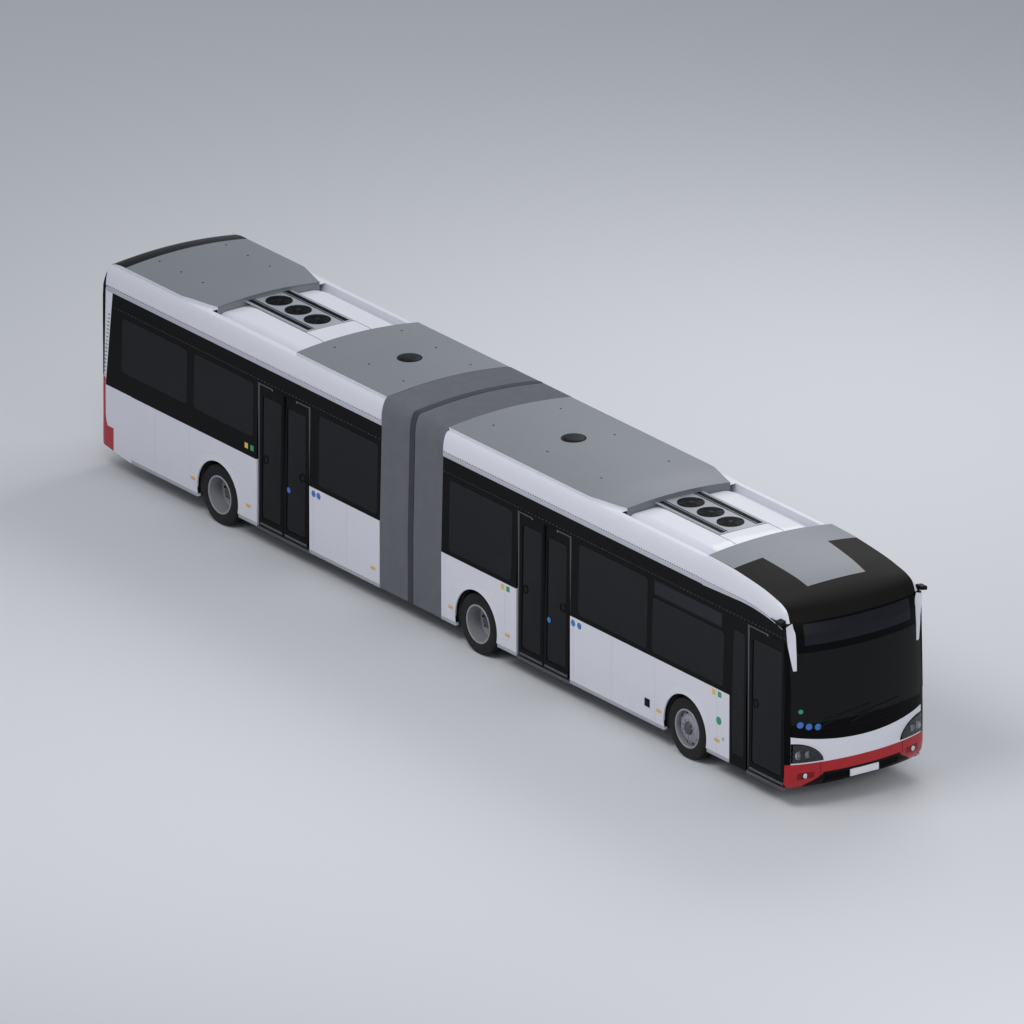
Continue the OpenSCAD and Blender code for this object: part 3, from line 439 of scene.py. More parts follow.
def turned(name, profile, centre, side, body, material, steps=96, angle=30.0):
    """Spins a closed (radius, offset outward) outline about a wheel's axis on side 1 (left) or -1."""
    count = len(profile)

    def point(u, v):
        a = 2.0 * pi * u
        r, offset = profile[int(round(v * count)) % count]
        return Vector((centre[0] + r * cos(a), centre[1] + side * offset, centre[2] + r * sin(a)))

    clear_selection()
    bpy.ops.mesh.primitive_grid_add(x_subdivisions=steps, y_subdivisions=count, size=2.0)
    obj = bpy.context.object
    for vertex in obj.data.vertices:
        vertex.co = point((vertex.co.x + 1.0) / 2.0, (vertex.co.y + 1.0) / 2.0)
    bpy.ops.object.mode_set(mode="EDIT")
    bpy.ops.mesh.select_all(action="SELECT")
    bpy.ops.mesh.remove_doubles(threshold=0.00005)
    bpy.ops.mesh.normals_make_consistent(inside=False)
    bpy.ops.object.mode_set(mode="OBJECT")
    settle(obj, name, body, material, angle)
    return obj


def joined(name, pieces, body, material):
    """Makes one piece of several that share a body."""
    clear_selection()
    for piece in pieces:
        piece.select_set(True)
    bpy.context.view_layer.objects.active = pieces[0]
    bpy.ops.object.join()
    obj = bpy.context.object
    settle(obj, name, body, material)
    return obj


def blend_value(a, b, t):
    return a + (b - a) * t


def smooth(t):
    t = min(1.0, max(0.0, t))
    return t * t * (3.0 - 2.0 * t)


# ------------------------------------------------------------------ body surfaces

def on_side(p, side):
    """The point p of the left side, on the left (side = 1) or the right (side = -1)."""
    return Vector((p.x, side * p.y, p.z))


def side_y(z):
    """Half width of the side at height z, with its lean above the belt line."""
    return HALF_W - (LEAN * (z - BELT_Z) / (BAND_Z - BELT_Z) if z > BELT_Z else 0.0)


# The nose in side view. Columns: distance behind the foremost point, height
NOSE_LINE = [(0.135, 0.29), (0.04, 0.38), (0.0, 0.52), (0.0, 0.75), (0.0, 1.0), (0.012, 1.31), (0.026, 1.85),
             (0.045, 2.43), (0.070, 2.70), (0.135, 2.90), (0.275, 3.06), (0.470, 3.165), (0.725, 3.24),
             (1.100, 3.32), (1.760, 3.395), (2.395, 3.418)]


def curve_at(line, t):
    """A smooth curve through the line's points: t is 0 at the first and 1 at the last."""
    place = t * (len(line) - 1)
    i = min(int(place), len(line) - 2)
    f = place - i
    p0, p1 = line[max(i - 1, 0)], line[i]
    p2, p3 = line[i + 1], line[min(i + 2, len(line) - 1)]
    return [0.5 * (2 * b + (c - a) * f + (2 * a - 5 * b + 4 * c - d) * f * f + (3 * b - a - 3 * c + d) * f ** 3)
            for a, b, c, d in zip(p0, p1, p2, p3)]


def setback(z):
    """Distance of the nose's middle line behind the foremost point at height z, below the dome."""
    line = NOSE_LINE
    for (x0, z0), (x1, z1) in zip(line, line[1:]):
        if z <= z1:
            return blend_value(x0, x1, max(0.0, (z - z0) / (z1 - z0)))
    return line[-1][0]


CORNER_DEPTH = 0.275


def nose_point(y, z, lift=0.0):
    """The front's surface at width y and height z."""
    half = side_y(z)
    u = min(1.0, abs(y) / half)
    round_off = CORNER_DEPTH * (1.0 - (1.0 - u * u) ** 0.75)
    x = NOSE_X - setback(z) * (1.0 - 0.35 * u * u) - round_off
    return Vector((min(x, NOSE_X) + lift, y, z))


def nose_patch(name, y0, y1, z_low, z_high, body, material, thick=0.006, lift=0.0, across=48, rows=12):
    """A panel of the front between two widths and two edges z_low(y), z_high(y)."""
    def point(u, v):
        y = blend_value(y0, y1, u)
        # closer columns towards the corners, where the front turns
        if y0 < -1.0 and y1 > 1.0:
            y = y1 * sin(pi * (u - 0.5)) if u != 0.5 else 0.0
        return nose_point(y, blend_value(z_low(y), z_high(y), v), lift)
    return patch(name, across, rows, point, body, material, thick, out=(1, 0, 0))


def flat(value):
    return lambda y: value


def shoulder_point(x, s):
    """Roof shoulder from the band's edge (s = 0) to the rail's outer edge (s = 1)."""
    base = side_y(BAND_Z)
    if s < 0.12:
        return Vector((x, base, blend_value(BAND_Z, SHOULDER_Z, s / 0.12)))
    a = (s - 0.12) / 0.88 * pi / 2
    return Vector((x, RAIL_Y + (base - RAIL_Y) * cos(a), SHOULDER_Z + (RAIL_Z - SHOULDER_Z) * sin(a)))


# ------------------------------------------------------------------ nose

SIDES = ((-1.0, "right"), (1.0, "left"))
DOME_LINE = NOSE_LINE[9:]
DISPLAY_TOP = DOME_LINE[0][1]
SCREEN_FOOT, SCREEN_TOP = 1.31, 2.43
BUMPER_TOP = 0.69
GLASS_EDGE_Y = 1.19
DOME_EDGE_Y = 1.15
HORN_Y, HORN_TIP_Z = 1.103, 2.17


def smile(y):
    """Lower edge of the black band under the windscreen."""
    return 1.0 + 0.13 * (y / 1.2) ** 2


def dome_point(t, y, lift=0.0):
    """The dome over the display: t runs back along its crown."""
    behind, z = curve_at(DOME_LINE, t)
    k = smooth((z - DISPLAY_TOP) / (ROOF_Z - DISPLAY_TOP))
    u = abs(y) / side_y(DISPLAY_TOP)
    round_off = CORNER_DEPTH * (1.0 - k) * (1.0 - (1.0 - u * u) ** 0.75)
    x = NOSE_X - behind * (1.0 - 0.35 * u * u * (1.0 - k)) - round_off
    drop = (ROOF_Z - 0.08 - RAIL_Z + 0.05) * 0.8 * k * (y / RAIL_Y) ** 2
    return Vector((x + 0.5 * lift, y, z - drop + lift))


def dome_edge(t):
    z = curve_at(DOME_LINE, t)[1]
    k = smooth((z - DISPLAY_TOP) / (ROOF_Z - DISPLAY_TOP))
    return dome_point(t, blend_value(DOME_EDGE_Y, RAIL_Y, k))


def shoulder_foot(x):
    """Lower edge of the white shoulder: level, then falling towards the corner."""
    fall = max(0.0, (x - DOME_X - 0.9) / (CORNER_X - DOME_X - 0.9))
    return SHOULDER_Z - 0.19 * fall * fall


def make_dome():
    def black(u, v):
        edge = dome_edge(v)
        return dome_point(v, edge.y * (2.0 * u - 1.0))
    patch("dome_skin", 48, 64, black, "front_section", DOME_BLACK, 0.03, out=(0.3, 0, 1))

    # grey roof panel with its tongue, laid over the dome
    def panel(x_back, x_front, half_back, half_front, name):
        def at(u, v):
            x = blend_value(x_back, x_front, v)
            t = next(i / 400 for i in range(400, -1, -1)
                     if NOSE_X - curve_at(DOME_LINE, i / 400)[0] >= x or i == 0)
            y = blend_value(half_back, half_front, v) * (2.0 * u - 1.0)
            return dome_point(t, y, 0.003)
        patch(name, 32, 24, at, "front_section", ROOF_GREY, 0.004, out=(0, 0, 1))
    panel(DOME_X, 7.30, RAIL_Y, RAIL_Y - 0.01, "dome_panel")
    panel(7.29, 8.35, 0.60, 0.53, "dome_panel_tongue")

    def back(u, v):
        crown = dome_point(1.0, RAIL_Y * (2.0 * u - 1.0))
        return Vector((DOME_X + 0.001, crown.y, blend_value(3.05, crown.z + 0.002, v)))
    patch("dome_back", 32, 4, back, "front_section", WHITE, 0.008, out=(-1, 0, 0))

    for side, label in SIDES:
        def white(u, v, side=side):
            a = dome_edge(v)
            x_b = blend_value(nose_point(side_y(2.8), 2.8).x, DOME_X, smooth(v) if v < 0.5 else v)
            x_b = min(a.x, x_b) if v > 0.02 else x_b
            b = Vector((x_b, side_y(BAND_Z) + 0.002, shoulder_foot(x_b)))
            angle = u * pi / 2
            y = a.y + (b.y - a.y) * cos(angle)
            z = b.z + (a.z - b.z) * sin(angle)
            return Vector((blend_value(b.x, a.x, u), side * y, z))
        patch(f"{label}_front_shoulder", 16, 48, white, "front_section", WHITE, 0.012,
              out=(0, side, 0.4))

        def horn(u, v, side=side):
            z = blend_value(blend_value(DISPLAY_TOP, 2.87, u), HORN_TIP_Z, v)
            y_in = HORN_Y + 0.035 * max(0.0, 1.0 - v / 0.2)
            y = blend_value(y_in, blend_value(side_y(z), HORN_Y + 0.045, v ** 1.3), u)
            p = nose_point(y, z, 0.014)
            return Vector((max(p.x, CORNER_X + 0.012), side * (p.y + 0.006 * u), p.z))
        patch(f"{label}_corner_horn", 12, 32, horn, "front_section", WHITE, 0.012,
              out=(0.6, side, 0))

        def fill(u, v, side=side):
            x = blend_value(DOME_X, CORNER_X - 0.07, u)
            return Vector((x, side * (side_y(BAND_Z) + 0.0005),
                           blend_value(BAND_Z, shoulder_foot(x) + 0.01, v)))
        patch(f"{label}_shoulder_foot", 40, 2, fill, "front_section", BLACK, 0.02, out=(0, side, 0))

        # the drip strip runs on under the shoulder and tapers towards the corner
        def strip(u, v, side=side):
            x = blend_value(DOME_X, CORNER_X - 0.09, u)
            top = shoulder_foot(x) - 0.004
            return Vector((x, side * (side_y(BAND_Z) + 0.007),
                           blend_value(top - 0.072 * (1.0 - u) - 0.010, top, v)))
        patch(f"{label}_front_drip_strip", 40, 2, strip, "front_section", STRIP_WHITE, 0.005,
              out=(0, side, 0))

        # black corner between glass and side wall
        def corner(u, v, side=side):
            z = blend_value(BUMPER_TOP, 2.93, v)
            y = blend_value(GLASS_EDGE_Y - 0.01, side_y(z), 1.0 - (1.0 - u) ** 2)
            p = nose_point(y, z)
            return on_side(p, side)
        patch(f"{label}_corner_post", 16, 40, corner, "front_section", BLACK, 0.02, out=(0.6, side, 0))


def make_front():
    nose_patch("front_windscreen", -GLASS_EDGE_Y, GLASS_EDGE_Y, flat(SCREEN_FOOT), flat(SCREEN_TOP),
               "front_section", SCREEN_GLASS, 0.010, rows=16)
    nose_patch("screen_black_edge", -GLASS_EDGE_Y, GLASS_EDGE_Y, smile, flat(SCREEN_FOOT),
               "front_section", BLACK, 0.02, rows=8)
    nose_patch("display_surround", -GLASS_EDGE_Y, GLASS_EDGE_Y, flat(SCREEN_TOP), flat(DISPLAY_TOP + 0.005),
               "front_section", BLACK, 0.03, rows=10)
    nose_patch("front_display", -0.97, 0.97, flat(2.545), flat(2.865), "front_section", DISPLAY, 0.004,
               lift=0.003, across=32)
    nose_patch("front_white_mask", -GLASS_EDGE_Y - 0.005, GLASS_EDGE_Y + 0.005, flat(BUMPER_TOP), smile,
               "front_section", WHITE, 0.03, lift=0.002, rows=10)
    full = side_y(0.5) - 0.001
    nose_patch("front_red_bumper", -full, full, flat(0.292), flat(BUMPER_TOP), "front_section", RED,
               0.03, lift=0.003, across=72, rows=16)
    # black lower grille with slats, narrowing upwards
    def grille(u, v):
        z = blend_value(0.296, 0.52, v)
        half = blend_value(0.98, 0.70, smooth(v))
        return nose_point(half * (2.0 * u - 1.0), z, 0.008)
    patch("lower_grille", 48, 10, grille, "front_section", BLACK_SATIN, 0.02, out=(1, 0, 0))
    slats = []
    for i in range(5):
        z = 0.325 + i * 0.033
        slats.append(nose_patch(f"slat_{i}", -0.68, 0.68, flat(z), flat(z + 0.012), None, BLACK, 0.008,
                                lift=0.016, across=32, rows=2))
    joined("grille_slats", slats, "front_section", BLACK)
    box("number_plate", (NOSE_X - 0.012, -0.26, 0.375), (NOSE_X + 0.016, 0.26, 0.485), "front_section",
        WHITE_LABEL, bevel=0.006)
    # seams: the screen's dashed joint line, bumper corner joints
    nose_patch("mask_joint", -1.05, 1.05, lambda y: 1.175 + 0.08 * (y / 1.05) ** 2,
               lambda y: 1.181 + 0.08 * (y / 1.05) ** 2, "front_section", BLACK_SATIN, 0.004, lift=0.002,
               rows=2)
    for side, label in SIDES:
        a, b = sorted((side * 0.750, side * 0.756))
        nose_patch(f"{label}_bumper_joint", a, b, flat(0.40), flat(BUMPER_TOP), "front_section", RUBBER,
                   0.004, lift=0.0045, across=2, rows=12)
        make_headlamp(side, label)
        make_fog_lamp(side, label)


def make_screen_stickers():
    """Unlettered round stickers at the foot of the windscreen's right side."""
    for i, (y, z, r, material) in enumerate(((-1.06, 1.31, 0.050, BLUE_LABEL),
                                             (-0.93, 1.27, 0.050, BLUE_LABEL),
                                             (-0.79, 1.25, 0.050, BLUE_LABEL),
                                             (-1.05, 1.52, 0.036, GREEN_LABEL))):
        def disc(u, v, y=y, z=z, r=r):
            a = 2.0 * pi * u
            return nose_point(y + r * v * cos(a), z + r * v * sin(a), 0.007)
        patch(f"screen_sticker_{i}", 28, 3, disc, "front_section", material, 0.002, out=(1, 0, 0))


def make_headlamp(side, label):
    inner, outer = 0.70, 1.195

    def edge(t):
        return BUMPER_TOP + 0.022 + 0.31 * sqrt(max(0.0, 1.0 - (1.0 - t) ** 2)) ** 1.2

    def surface(lift, shrink):
        def at(u, v):
            t = blend_value(shrink, 1.0 - shrink * 0.5, u)
            z = blend_value(BUMPER_TOP + 0.022 + shrink * 0.25,
                            max(edge(t) - shrink * 0.25, BUMPER_TOP + 0.024), v)
            p = nose_point(blend_value(inner, outer, t), z, lift)
            return on_side(p, side)
        return at
    patch(f"{label}_headlamp_housing", 24, 10, surface(0.004, 0.0), "front_section", BLACK, 0.03,
          out=(1, side * 0.3, 0))
    patch(f"{label}_headlamp_cover", 24, 10, surface(0.030, 0.05), "front_section", LAMP_GLASS, 0.004,
          out=(1, side * 0.3, 0))
    parts = []
    for y, r in ((1.085, 0.060), (0.955, 0.046)):
        p = nose_point(y, 0.835)
        base = Vector((p.x - 0.02, side * y, 0.835))
        parts.append(rod("reflector", base, base + Vector((0.030, 0, 0)), r, None, CLEAR_LENS, 32, 0.006))
        parts.append(rod("bulb", base + Vector((0.028, 0, 0)), base + Vector((0.040, 0, 0)), r * 0.45, None,
                         CLEAR_LENS, 24, 0.004))
    joined(f"{label}_headlamp_reflectors", parts, "front_section", CLEAR_LENS)
    rings = []
    for y, r in ((1.085, 0.064), (0.955, 0.050)):
        p = nose_point(y, 0.835)
        clear_selection()
        bpy.ops.mesh.primitive_torus_add(major_radius=r, minor_radius=0.005, major_segments=40,
                                         minor_segments=10,
            location=(p.x + 0.010, side * y, 0.835), rotation=(0, pi / 2, 0))
        ring = bpy.context.object
        place_in_mesh(ring)
        rings.append(settle(ring, "ring", None, NUT_METAL))
    joined(f"{label}_headlamp_rings", rings, "front_section", NUT_METAL)
    # dotted daytime strip along the lamp's upper edge
    dots = []
    for i in range(12):
        t = 0.12 + i * 0.07
        p = nose_point(blend_value(inner, outer, t), edge(t) - 0.022, 0.012)
        dots.append(box("dot", (p.x - 0.004, side * p.y - 0.006, p.z - 0.004),
                        (p.x + 0.004, side * p.y + 0.006, p.z + 0.004), None, CLEAR_LENS, 0.001, 1))
    joined(f"{label}_daytime_strip", dots, "front_section", CLEAR_LENS)


def make_fog_lamp(side, label):
    y, z = 0.985, 0.50
    p = nose_point(y, z)
    # The recess round the fog lamp takes the darkened red: painted shade.
    def recess(u, v):
        q = nose_point(blend_value(y - 0.14, y + 0.12, u), blend_value(z - 0.045 - 0.02 * u, z + 0.05, v),
                       0.006)
        return Vector((q.x, side * q.y, q.z))
    patch(f"{label}_fog_recess", 12, 6, recess, "front_section", RED_PAINTED_RECESS_SHADE, 0.01, out=(1, side * 0.3, 0))
    base = Vector((p.x - 0.01, side * y, z))
    rod(f"{label}_fog_lamp", base, base + Vector((0.026, 0, 0)), 0.042, "front_section", CLEAR_LENS, 32,
        0.006)
    rod(f"{label}_fog_bezel", base, base + Vector((0.020, side * 0.004, 0)), 0.050, "front_section",
        BLACK_SATIN, 32,
        0.004)


def make_wipers():
    parts = []
    for y0, y1, z0, z1 in ((-0.70, 0.12, 1.345, 1.455), (-0.16, 0.68, 1.335, 1.415)):
        blade = []
        steps = 10
        for i in range(steps):
            p = nose_point(blend_value(y0, y1, i / steps),
                           blend_value(z0, z1, i / steps)) + Vector((-0.001, 0, 0))
            q = nose_point(blend_value(y0, y1, (i + 1) / steps),
                           blend_value(z0, z1, (i + 1) / steps)) + Vector((-0.001, 0, 0))
            blade.append(rod("blade", p, q, 0.012, None, RUBBER, 10))
        parts += blade
        pivot = nose_point(y0 - 0.05, 1.24, 0.0)
        middle = nose_point(blend_value(y0, y1, 0.5), blend_value(z0, z1, 0.5)) + Vector((0.004, 0, 0.012))
        parts.append(rod("arm", pivot, middle, 0.013, None, BLACK_SATIN, 12, 0.002))
        parts.append(rod("pivot", pivot - Vector((0.02, 0, 0)), pivot + Vector((0.004, 0, 0)), 0.024, None,
                         BLACK_SATIN, 20, 0.004))
    piece = joined("windscreen_wipers", parts, "front_section", BLACK_SATIN)
    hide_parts("wipers")


def make_camera_pods():
    for side, label in SIDES:
        clear_selection()
        x0, x1 = CORNER_X - 0.15, CORNER_X - 0.01
        bpy.ops.mesh.primitive_cube_add(size=1.0,
                                        location=((x0 + x1) / 2, side * (side_y(BAND_Z) + 0.055),
                                                  BAND_Z + 0.038))
        pod = bpy.context.object
        pod.scale = (x1 - x0, 0.110, 0.062)
        place_in_mesh(pod)
        apply_modifier(pod, "SUBSURF", levels=3, render_levels=3, subdivision_type="SIMPLE")
        for vertex in pod.data.vertices:
            out = (abs(vertex.co.y) - side_y(BAND_Z)) / 0.110
            vertex.co.z += -0.012 * out
            vertex.co.x += 0.014 * out
        apply_modifier(pod, "BEVEL", width=0.012, segments=3, limit_method="ANGLE")
        settle(pod, f"{label}_camera_pod", "front_section", BLACK_SATIN)
        lens = (x1 - 0.03, side * (side_y(BAND_Z) + 0.085), BAND_Z + 0.030)
        rod(f"{label}_camera_lens", (lens[0] - 0.085, lens[1], lens[2]),
            (lens[0] - 0.094, lens[1], lens[2]), 0.014,
            "front_section", BLACK, 24, 0.002)
        if label == "left":
            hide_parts("camera_pods")


# ------------------------------------------------------------------ roof

def make_roof_skins():
    """Smooth shoulders, drip strips and seam rivets over each section's roof."""
    for section, x0, x1 in (("front", FRONT_END_X, DOME_X), ("rear", TAIL_CORNER_X, REAR_END_X)):
        body = f"{section}_section"
        for side, label in SIDES:
            def shoulder(u, v, side=side, x0=x0, x1=x1):
                p = shoulder_point(blend_value(x0, x1, v), 0.125 + 0.875 * u)
                return Vector((p.x, side * (p.y + 0.0025 + 0.001 * u), p.z + 0.003 * u))
            patch(f"{section}_{label}_roof_shoulder", 24, 2, shoulder, body, WHITE, 0.003,
                  out=(0, side, 0.5))
            y = side * (side_y(BAND_Z) + 0.002)
            box(f"{section}_{label}_drip_strip", (x0 + 0.002, min(y, y + side * 0.006), BAND_Z + 0.004),
                (x1 + (0.0 if section == "front" else -0.002), max(y, y + side * 0.006), SHOULDER_Z - 0.006),
                body, STRIP_WHITE, 0.002)
            # rivets of the seam above the strip
            rivets = []
            count = int((x1 - x0) / 0.06)
            for i in range(count):
                x = x0 + (i + 0.5) * (x1 - x0) / count
                rivets.append((x, y + side * 0.001, SHOULDER_Z + 0.004))
            studs(f"{section}_{label}_roof_seam", rivets, 0.009, 0.006, body, RUBBER)


def studs(name, places, radius, height, body, material):
    """A row of small flat dots on a side, copied from one."""
    clear_selection()
    bpy.ops.mesh.primitive_cylinder_add(vertices=8, radius=radius, depth=height, rotation=(pi / 2, 0, 0))
    first = bpy.context.object
    place_in_mesh(first)
    source = first.data
    verts, faces = [], []
    for place in places:
        base = len(verts)
        verts += [tuple(v.co + Vector(place)) for v in source.vertices]
        faces += [[base + i for i in p.vertices] for p in source.polygons]
    mesh = bpy.data.meshes.new(name)
    mesh.from_pydata(verts, [], faces)
    first.data = mesh
    settle(first, name, body, material)
    return first


COVER_HALF = RAIL_Y - 0.002
COVER_RISE = 0.08
COVER_NOSE = 0.68
NOSE_Y = 0.95


def cover_z(y):
    return ROOF_Z - COVER_RISE * (y / COVER_HALF) ** 2


def make_cover(name, x0, x1, nosed, body):
    """Cambered grey cover with white edge risers; a nosed cover narrows towards its front."""
    rows = 40 if nosed else 12

    def half_at(x):
        if not nosed or x < x1 - COVER_NOSE:
            return COVER_HALF
        return blend_value(COVER_HALF, NOSE_Y, (x - x1 + COVER_NOSE) / COVER_NOSE)

    def fall_at(x):
        return 0.035 * smooth((x - x1 + COVER_NOSE) / COVER_NOSE) if nosed else 0.0

    def top(u, v):
        x = blend_value(x0, x1, v)
        y = half_at(x) * (2.0 * u - 1.0)
        return Vector((x, y, cover_z(y) - fall_at(x)))
    pieces = [patch(name, 48, rows, top, body, ROOF_GREY, 0.012, out=(0, 0, 1))]
    for side, label in SIDES:
        def riser(u, v, side=side):
            x = blend_value(x0, x1, v)
            y = half_at(x)
            return Vector((x, side * (y + 0.001),
                           blend_value(RAIL_Z - 0.005, cover_z(y) - fall_at(x) - 0.001, u)))
        patch(f"{name}_{label}_edge", 2, rows, riser, body, WHITE, 0.008, out=(0, side, 0))
        if nosed:
            def ledge(u, v, side=side):
                x = blend_value(x1 - COVER_NOSE - 0.02, x1, v)
                return Vector((x, side * blend_value(half_at(x) - 0.004, RAIL_Y + 0.006, u), RAIL_Z + 0.001))
            patch(f"{name}_{label}_ledge", 6, 16, ledge, body, WHITE, 0.004, out=(0, 0, 1))
    if nosed:
        def face(u, v):
            y = NOSE_Y * (2.0 * u - 1.0)
            return Vector((x1 - 0.012 * v, y, blend_value(ROOF_Z - 0.27, cover_z(y) - 0.036, v)))
        patch(f"{name}_front_face", 32, 3, face, body, ROOF_GREY, 0.01, out=(1, 0, 0))
    # fasteners
    dots = []
    span = (x1 - COVER_NOSE if nosed else x1) - x0
    for i in range(3):
        for y in (-0.62, 0.62):
            x = x0 + span * (0.12 + 0.38 * i)
            dots.append(rod("dot", (x, y, cover_z(y) - 0.002), (x, y, cover_z(y) + 0.004), 0.016, None,
                            RUBBER, 12, 0.001))
    joined(f"{name}_fasteners", dots, body, RUBBER)
    return pieces[0]


def make_hatch(x, name, body):
    """Round black roof hatch with a raised rim and a domed lid."""
    profile = [(0.0, 0.030), (0.08, 0.029), (0.13, 0.024), (0.165, 0.015), (0.172, 0.008), (0.178, 0.012),
               (0.190, 0.012), (0.195, 0.006), (0.195, -0.004), (0.0, -0.004)]
    count = len(profile) - 1

    def at(u, v):
        r, h = profile[int(round(v * count))]
        return Vector((x + r * cos(2 * pi * u), r * sin(2 * pi * u), ROOF_Z - 0.0035 + h * 0.85))
    patch(name, 64, count, at, body, BLACK_SATIN, 0.0)


def hood_end_fall(end):
    """How far the hood's top falls at a distance from its end."""
    return 0.06 * max(0.0, 1.0 - end / 0.40) ** 2


def make_air_unit(name, x0, x1, fan_x, body):
    """White hood with soft shoulders, seams, and a sunk grey deck with fans and slotted strips."""
    half, top_z, deck_z = 0.95, 3.30, ROOF_Z - 0.287
    deck_half_x, deck_half_y = 0.84, 0.44

    def hood(u, v):
        x = blend_value(x0, x1, v)
        end = min(x - x0, x1 - x)
        # outline from one side's foot over the top to the other
        a = abs(2.0 * u - 1.0)
        side = 1.0 if u > 0.5 else -1.0
        if a > 0.62:
            t = (a - 0.62) / 0.38 * pi / 2
            y, z = half - 0.16 + 0.16 * sin(t), top_z - 0.015 - 0.145 * (1.0 - cos(t))
        else:
            y = (half - 0.16) * a / 0.62
            z = top_z - 0.015 * (y / (half - 0.16)) ** 2
        if a > 0.995:
            z = deck_z
        return Vector((x, side * y, z - hood_end_fall(end)))

    piece = patch(name, 60, 48, hood, body, WHITE, 0.012, out=(0, 0, 1))
    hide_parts(name.replace("_hood", ""))
    # deck plate
    box(f"{name}_deck", (fan_x - deck_half_x, -deck_half_y, top_z - 0.004),
        (fan_x + deck_half_x, deck_half_y, top_z + 0.007),
        body, DECK_GREY, 0.003)
    frame_parts, slot_parts, fan_parts = [], [], []
    z = top_z + 0.007
    for side in (-1.0, 1.0):
        # The slotted strips are black boxes under the ribs: painted shade of the slot openings.
        for inner, outer in ((0.300, 0.385), (0.262, 0.283)):
            y0, y1 = sorted((side * inner, side * outer))
            slot_parts.append(box("slot", (fan_x - 0.80, y0, z - 0.004), (fan_x + 0.80, y1, z + 0.002),
                                  None, RUBBER, 0.001, 1))
            count = int(1.6 / 0.045)
            for i in range(count):
                x = fan_x - 0.80 + (i + 0.5) * 1.6 / count
                frame_parts.append(box("rib", (x - 0.004, y0, z), (x + 0.004, y1, z + 0.006), None,
                                       BLACK_SATIN, 0.0))
        # seam line along the deck's edge and out to the hood's ends
        def seam(u, v, side=side):
            x = blend_value(x0 + 0.02, x1 - 0.02, v)
            y = deck_half_y + 0.008 + 0.006 * u
            z = top_z - 0.015 * (y / (half - 0.16)) ** 2 - hood_end_fall(min(x - x0, x1 - x))
            return Vector((x, side * y, z + 0.0022))
        slot_parts.append(patch("seam", 1, 40, seam, None, RUBBER, 0.002, out=(0, 0, 1)))
    for i in (-1, 0, 1):
        cx = fan_x + i * 0.505
        # A black disc under each fan guard: painted shade of the fan opening.
        fan_parts.append(rod("well", (cx, 0, z - 0.006), (cx, 0, z + 0.003), 0.2085, None, RUBBER, 64, 0.001))
        for r in (0.06, 0.10, 0.14, 0.18, 0.205):
            clear_selection()
            bpy.ops.mesh.primitive_torus_add(major_radius=r, minor_radius=0.0035, major_segments=48,
                                             minor_segments=6,
                                             location=(cx, 0, z + 0.009))
            ring = bpy.context.object
            place_in_mesh(ring)
            fan_parts.append(settle(ring, "guard", None, BLACK_SATIN))
        for k in range(4):
            a = k * pi / 4
            d = Vector((cos(a), sin(a), 0)) * 0.205
            c = Vector((cx, 0, z + 0.009))
            fan_parts.append(rod("spoke", c - d, c + d, 0.0035, None, BLACK_SATIN, 6))
        fan_parts.append(rod("motor", (cx, 0, z), (cx, 0, z + 0.012), 0.045, None, BLACK_SATIN, 24, 0.003))
    joined(f"{name}_slots", slot_parts, body, RUBBER)
    joined(f"{name}_ribs", frame_parts, body, BLACK_SATIN)
    joined(f"{name}_fans", fan_parts, body, BLACK_SATIN)


# Ends of the roof covers, hatches and middles of the fan decks along the bus
FRONT_COVER_X, MIDDLE_COVER_X, TAIL_COVER_X = 4.36, -3.97, -6.31
FRONT_HATCH_X, REAR_HATCH_X = 1.66, -2.60
FRONT_FAN_X, REAR_FAN_X = 5.17, -5.53
UNIT_GAP = 0.005


def make_roof():
    make_roof_skins()
    front = make_cover("front_cover", FRONT_END_X, FRONT_COVER_X, True, "front_section")
    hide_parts("front_roof_covers")
    make_hatch(FRONT_HATCH_X, "front_hatch", "front_section")
    middle = make_cover("middle_cover", MIDDLE_COVER_X, REAR_END_X, False, "rear_section")
    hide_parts("rear_roof_covers")
    make_hatch(REAR_HATCH_X, "rear_hatch", "rear_section")
    make_cover("tail_cover", TAIL_X + 0.565, TAIL_COVER_X, True, "rear_section")
    make_air_unit("front_air_unit_hood", FRONT_COVER_X + UNIT_GAP, DOME_X - UNIT_GAP, FRONT_FAN_X,
                  "front_section")
    make_air_unit("rear_air_unit_hood", TAIL_COVER_X + UNIT_GAP, MIDDLE_COVER_X - UNIT_GAP, REAR_FAN_X,
                  "rear_section")


# ------------------------------------------------------------------ bellows

def outline_point(s, push=0.0):
    """The body's outline from the right skirt (s = 0) over the roof to the left skirt (s = 1)."""
    side = -1.0 if s < 0.5 else 1.0
    t = min(s, 1.0 - s) * 2.0
    legs = ((0.0, 0.27), (0.27, 0.60), (0.60, 0.70), (0.70, 1.0))
    if t <= legs[0][1]:
        y, z = HALF_W, blend_value(SKIRT_Z, BELT_Z, t / legs[0][1])
        normal = (1.0, 0.0)
    elif t <= legs[1][1]:
        z = blend_value(BELT_Z, SHOULDER_Z, (t - 0.27) / 0.33)
        y = side_y(min(z, BAND_Z))
        normal = (1.0, 0.0)
    elif t <= legs[2][1]:
        a = (t - 0.60) / 0.10 * pi / 2
        base = side_y(BAND_Z)
        y, z = RAIL_Y + (base - RAIL_Y) * cos(a), SHOULDER_Z + (ROOF_Z - 0.08 - SHOULDER_Z) * sin(a)
        normal = (cos(a * 0.8), sin(a * 0.8))
    else:
        y = RAIL_Y * (1.0 - (t - 0.70) / 0.30)
        z = cover_z(y)
        normal = (0.0, 1.0)
    return Vector((0.0, side * (y + push * normal[0]), z + push * normal[1]))


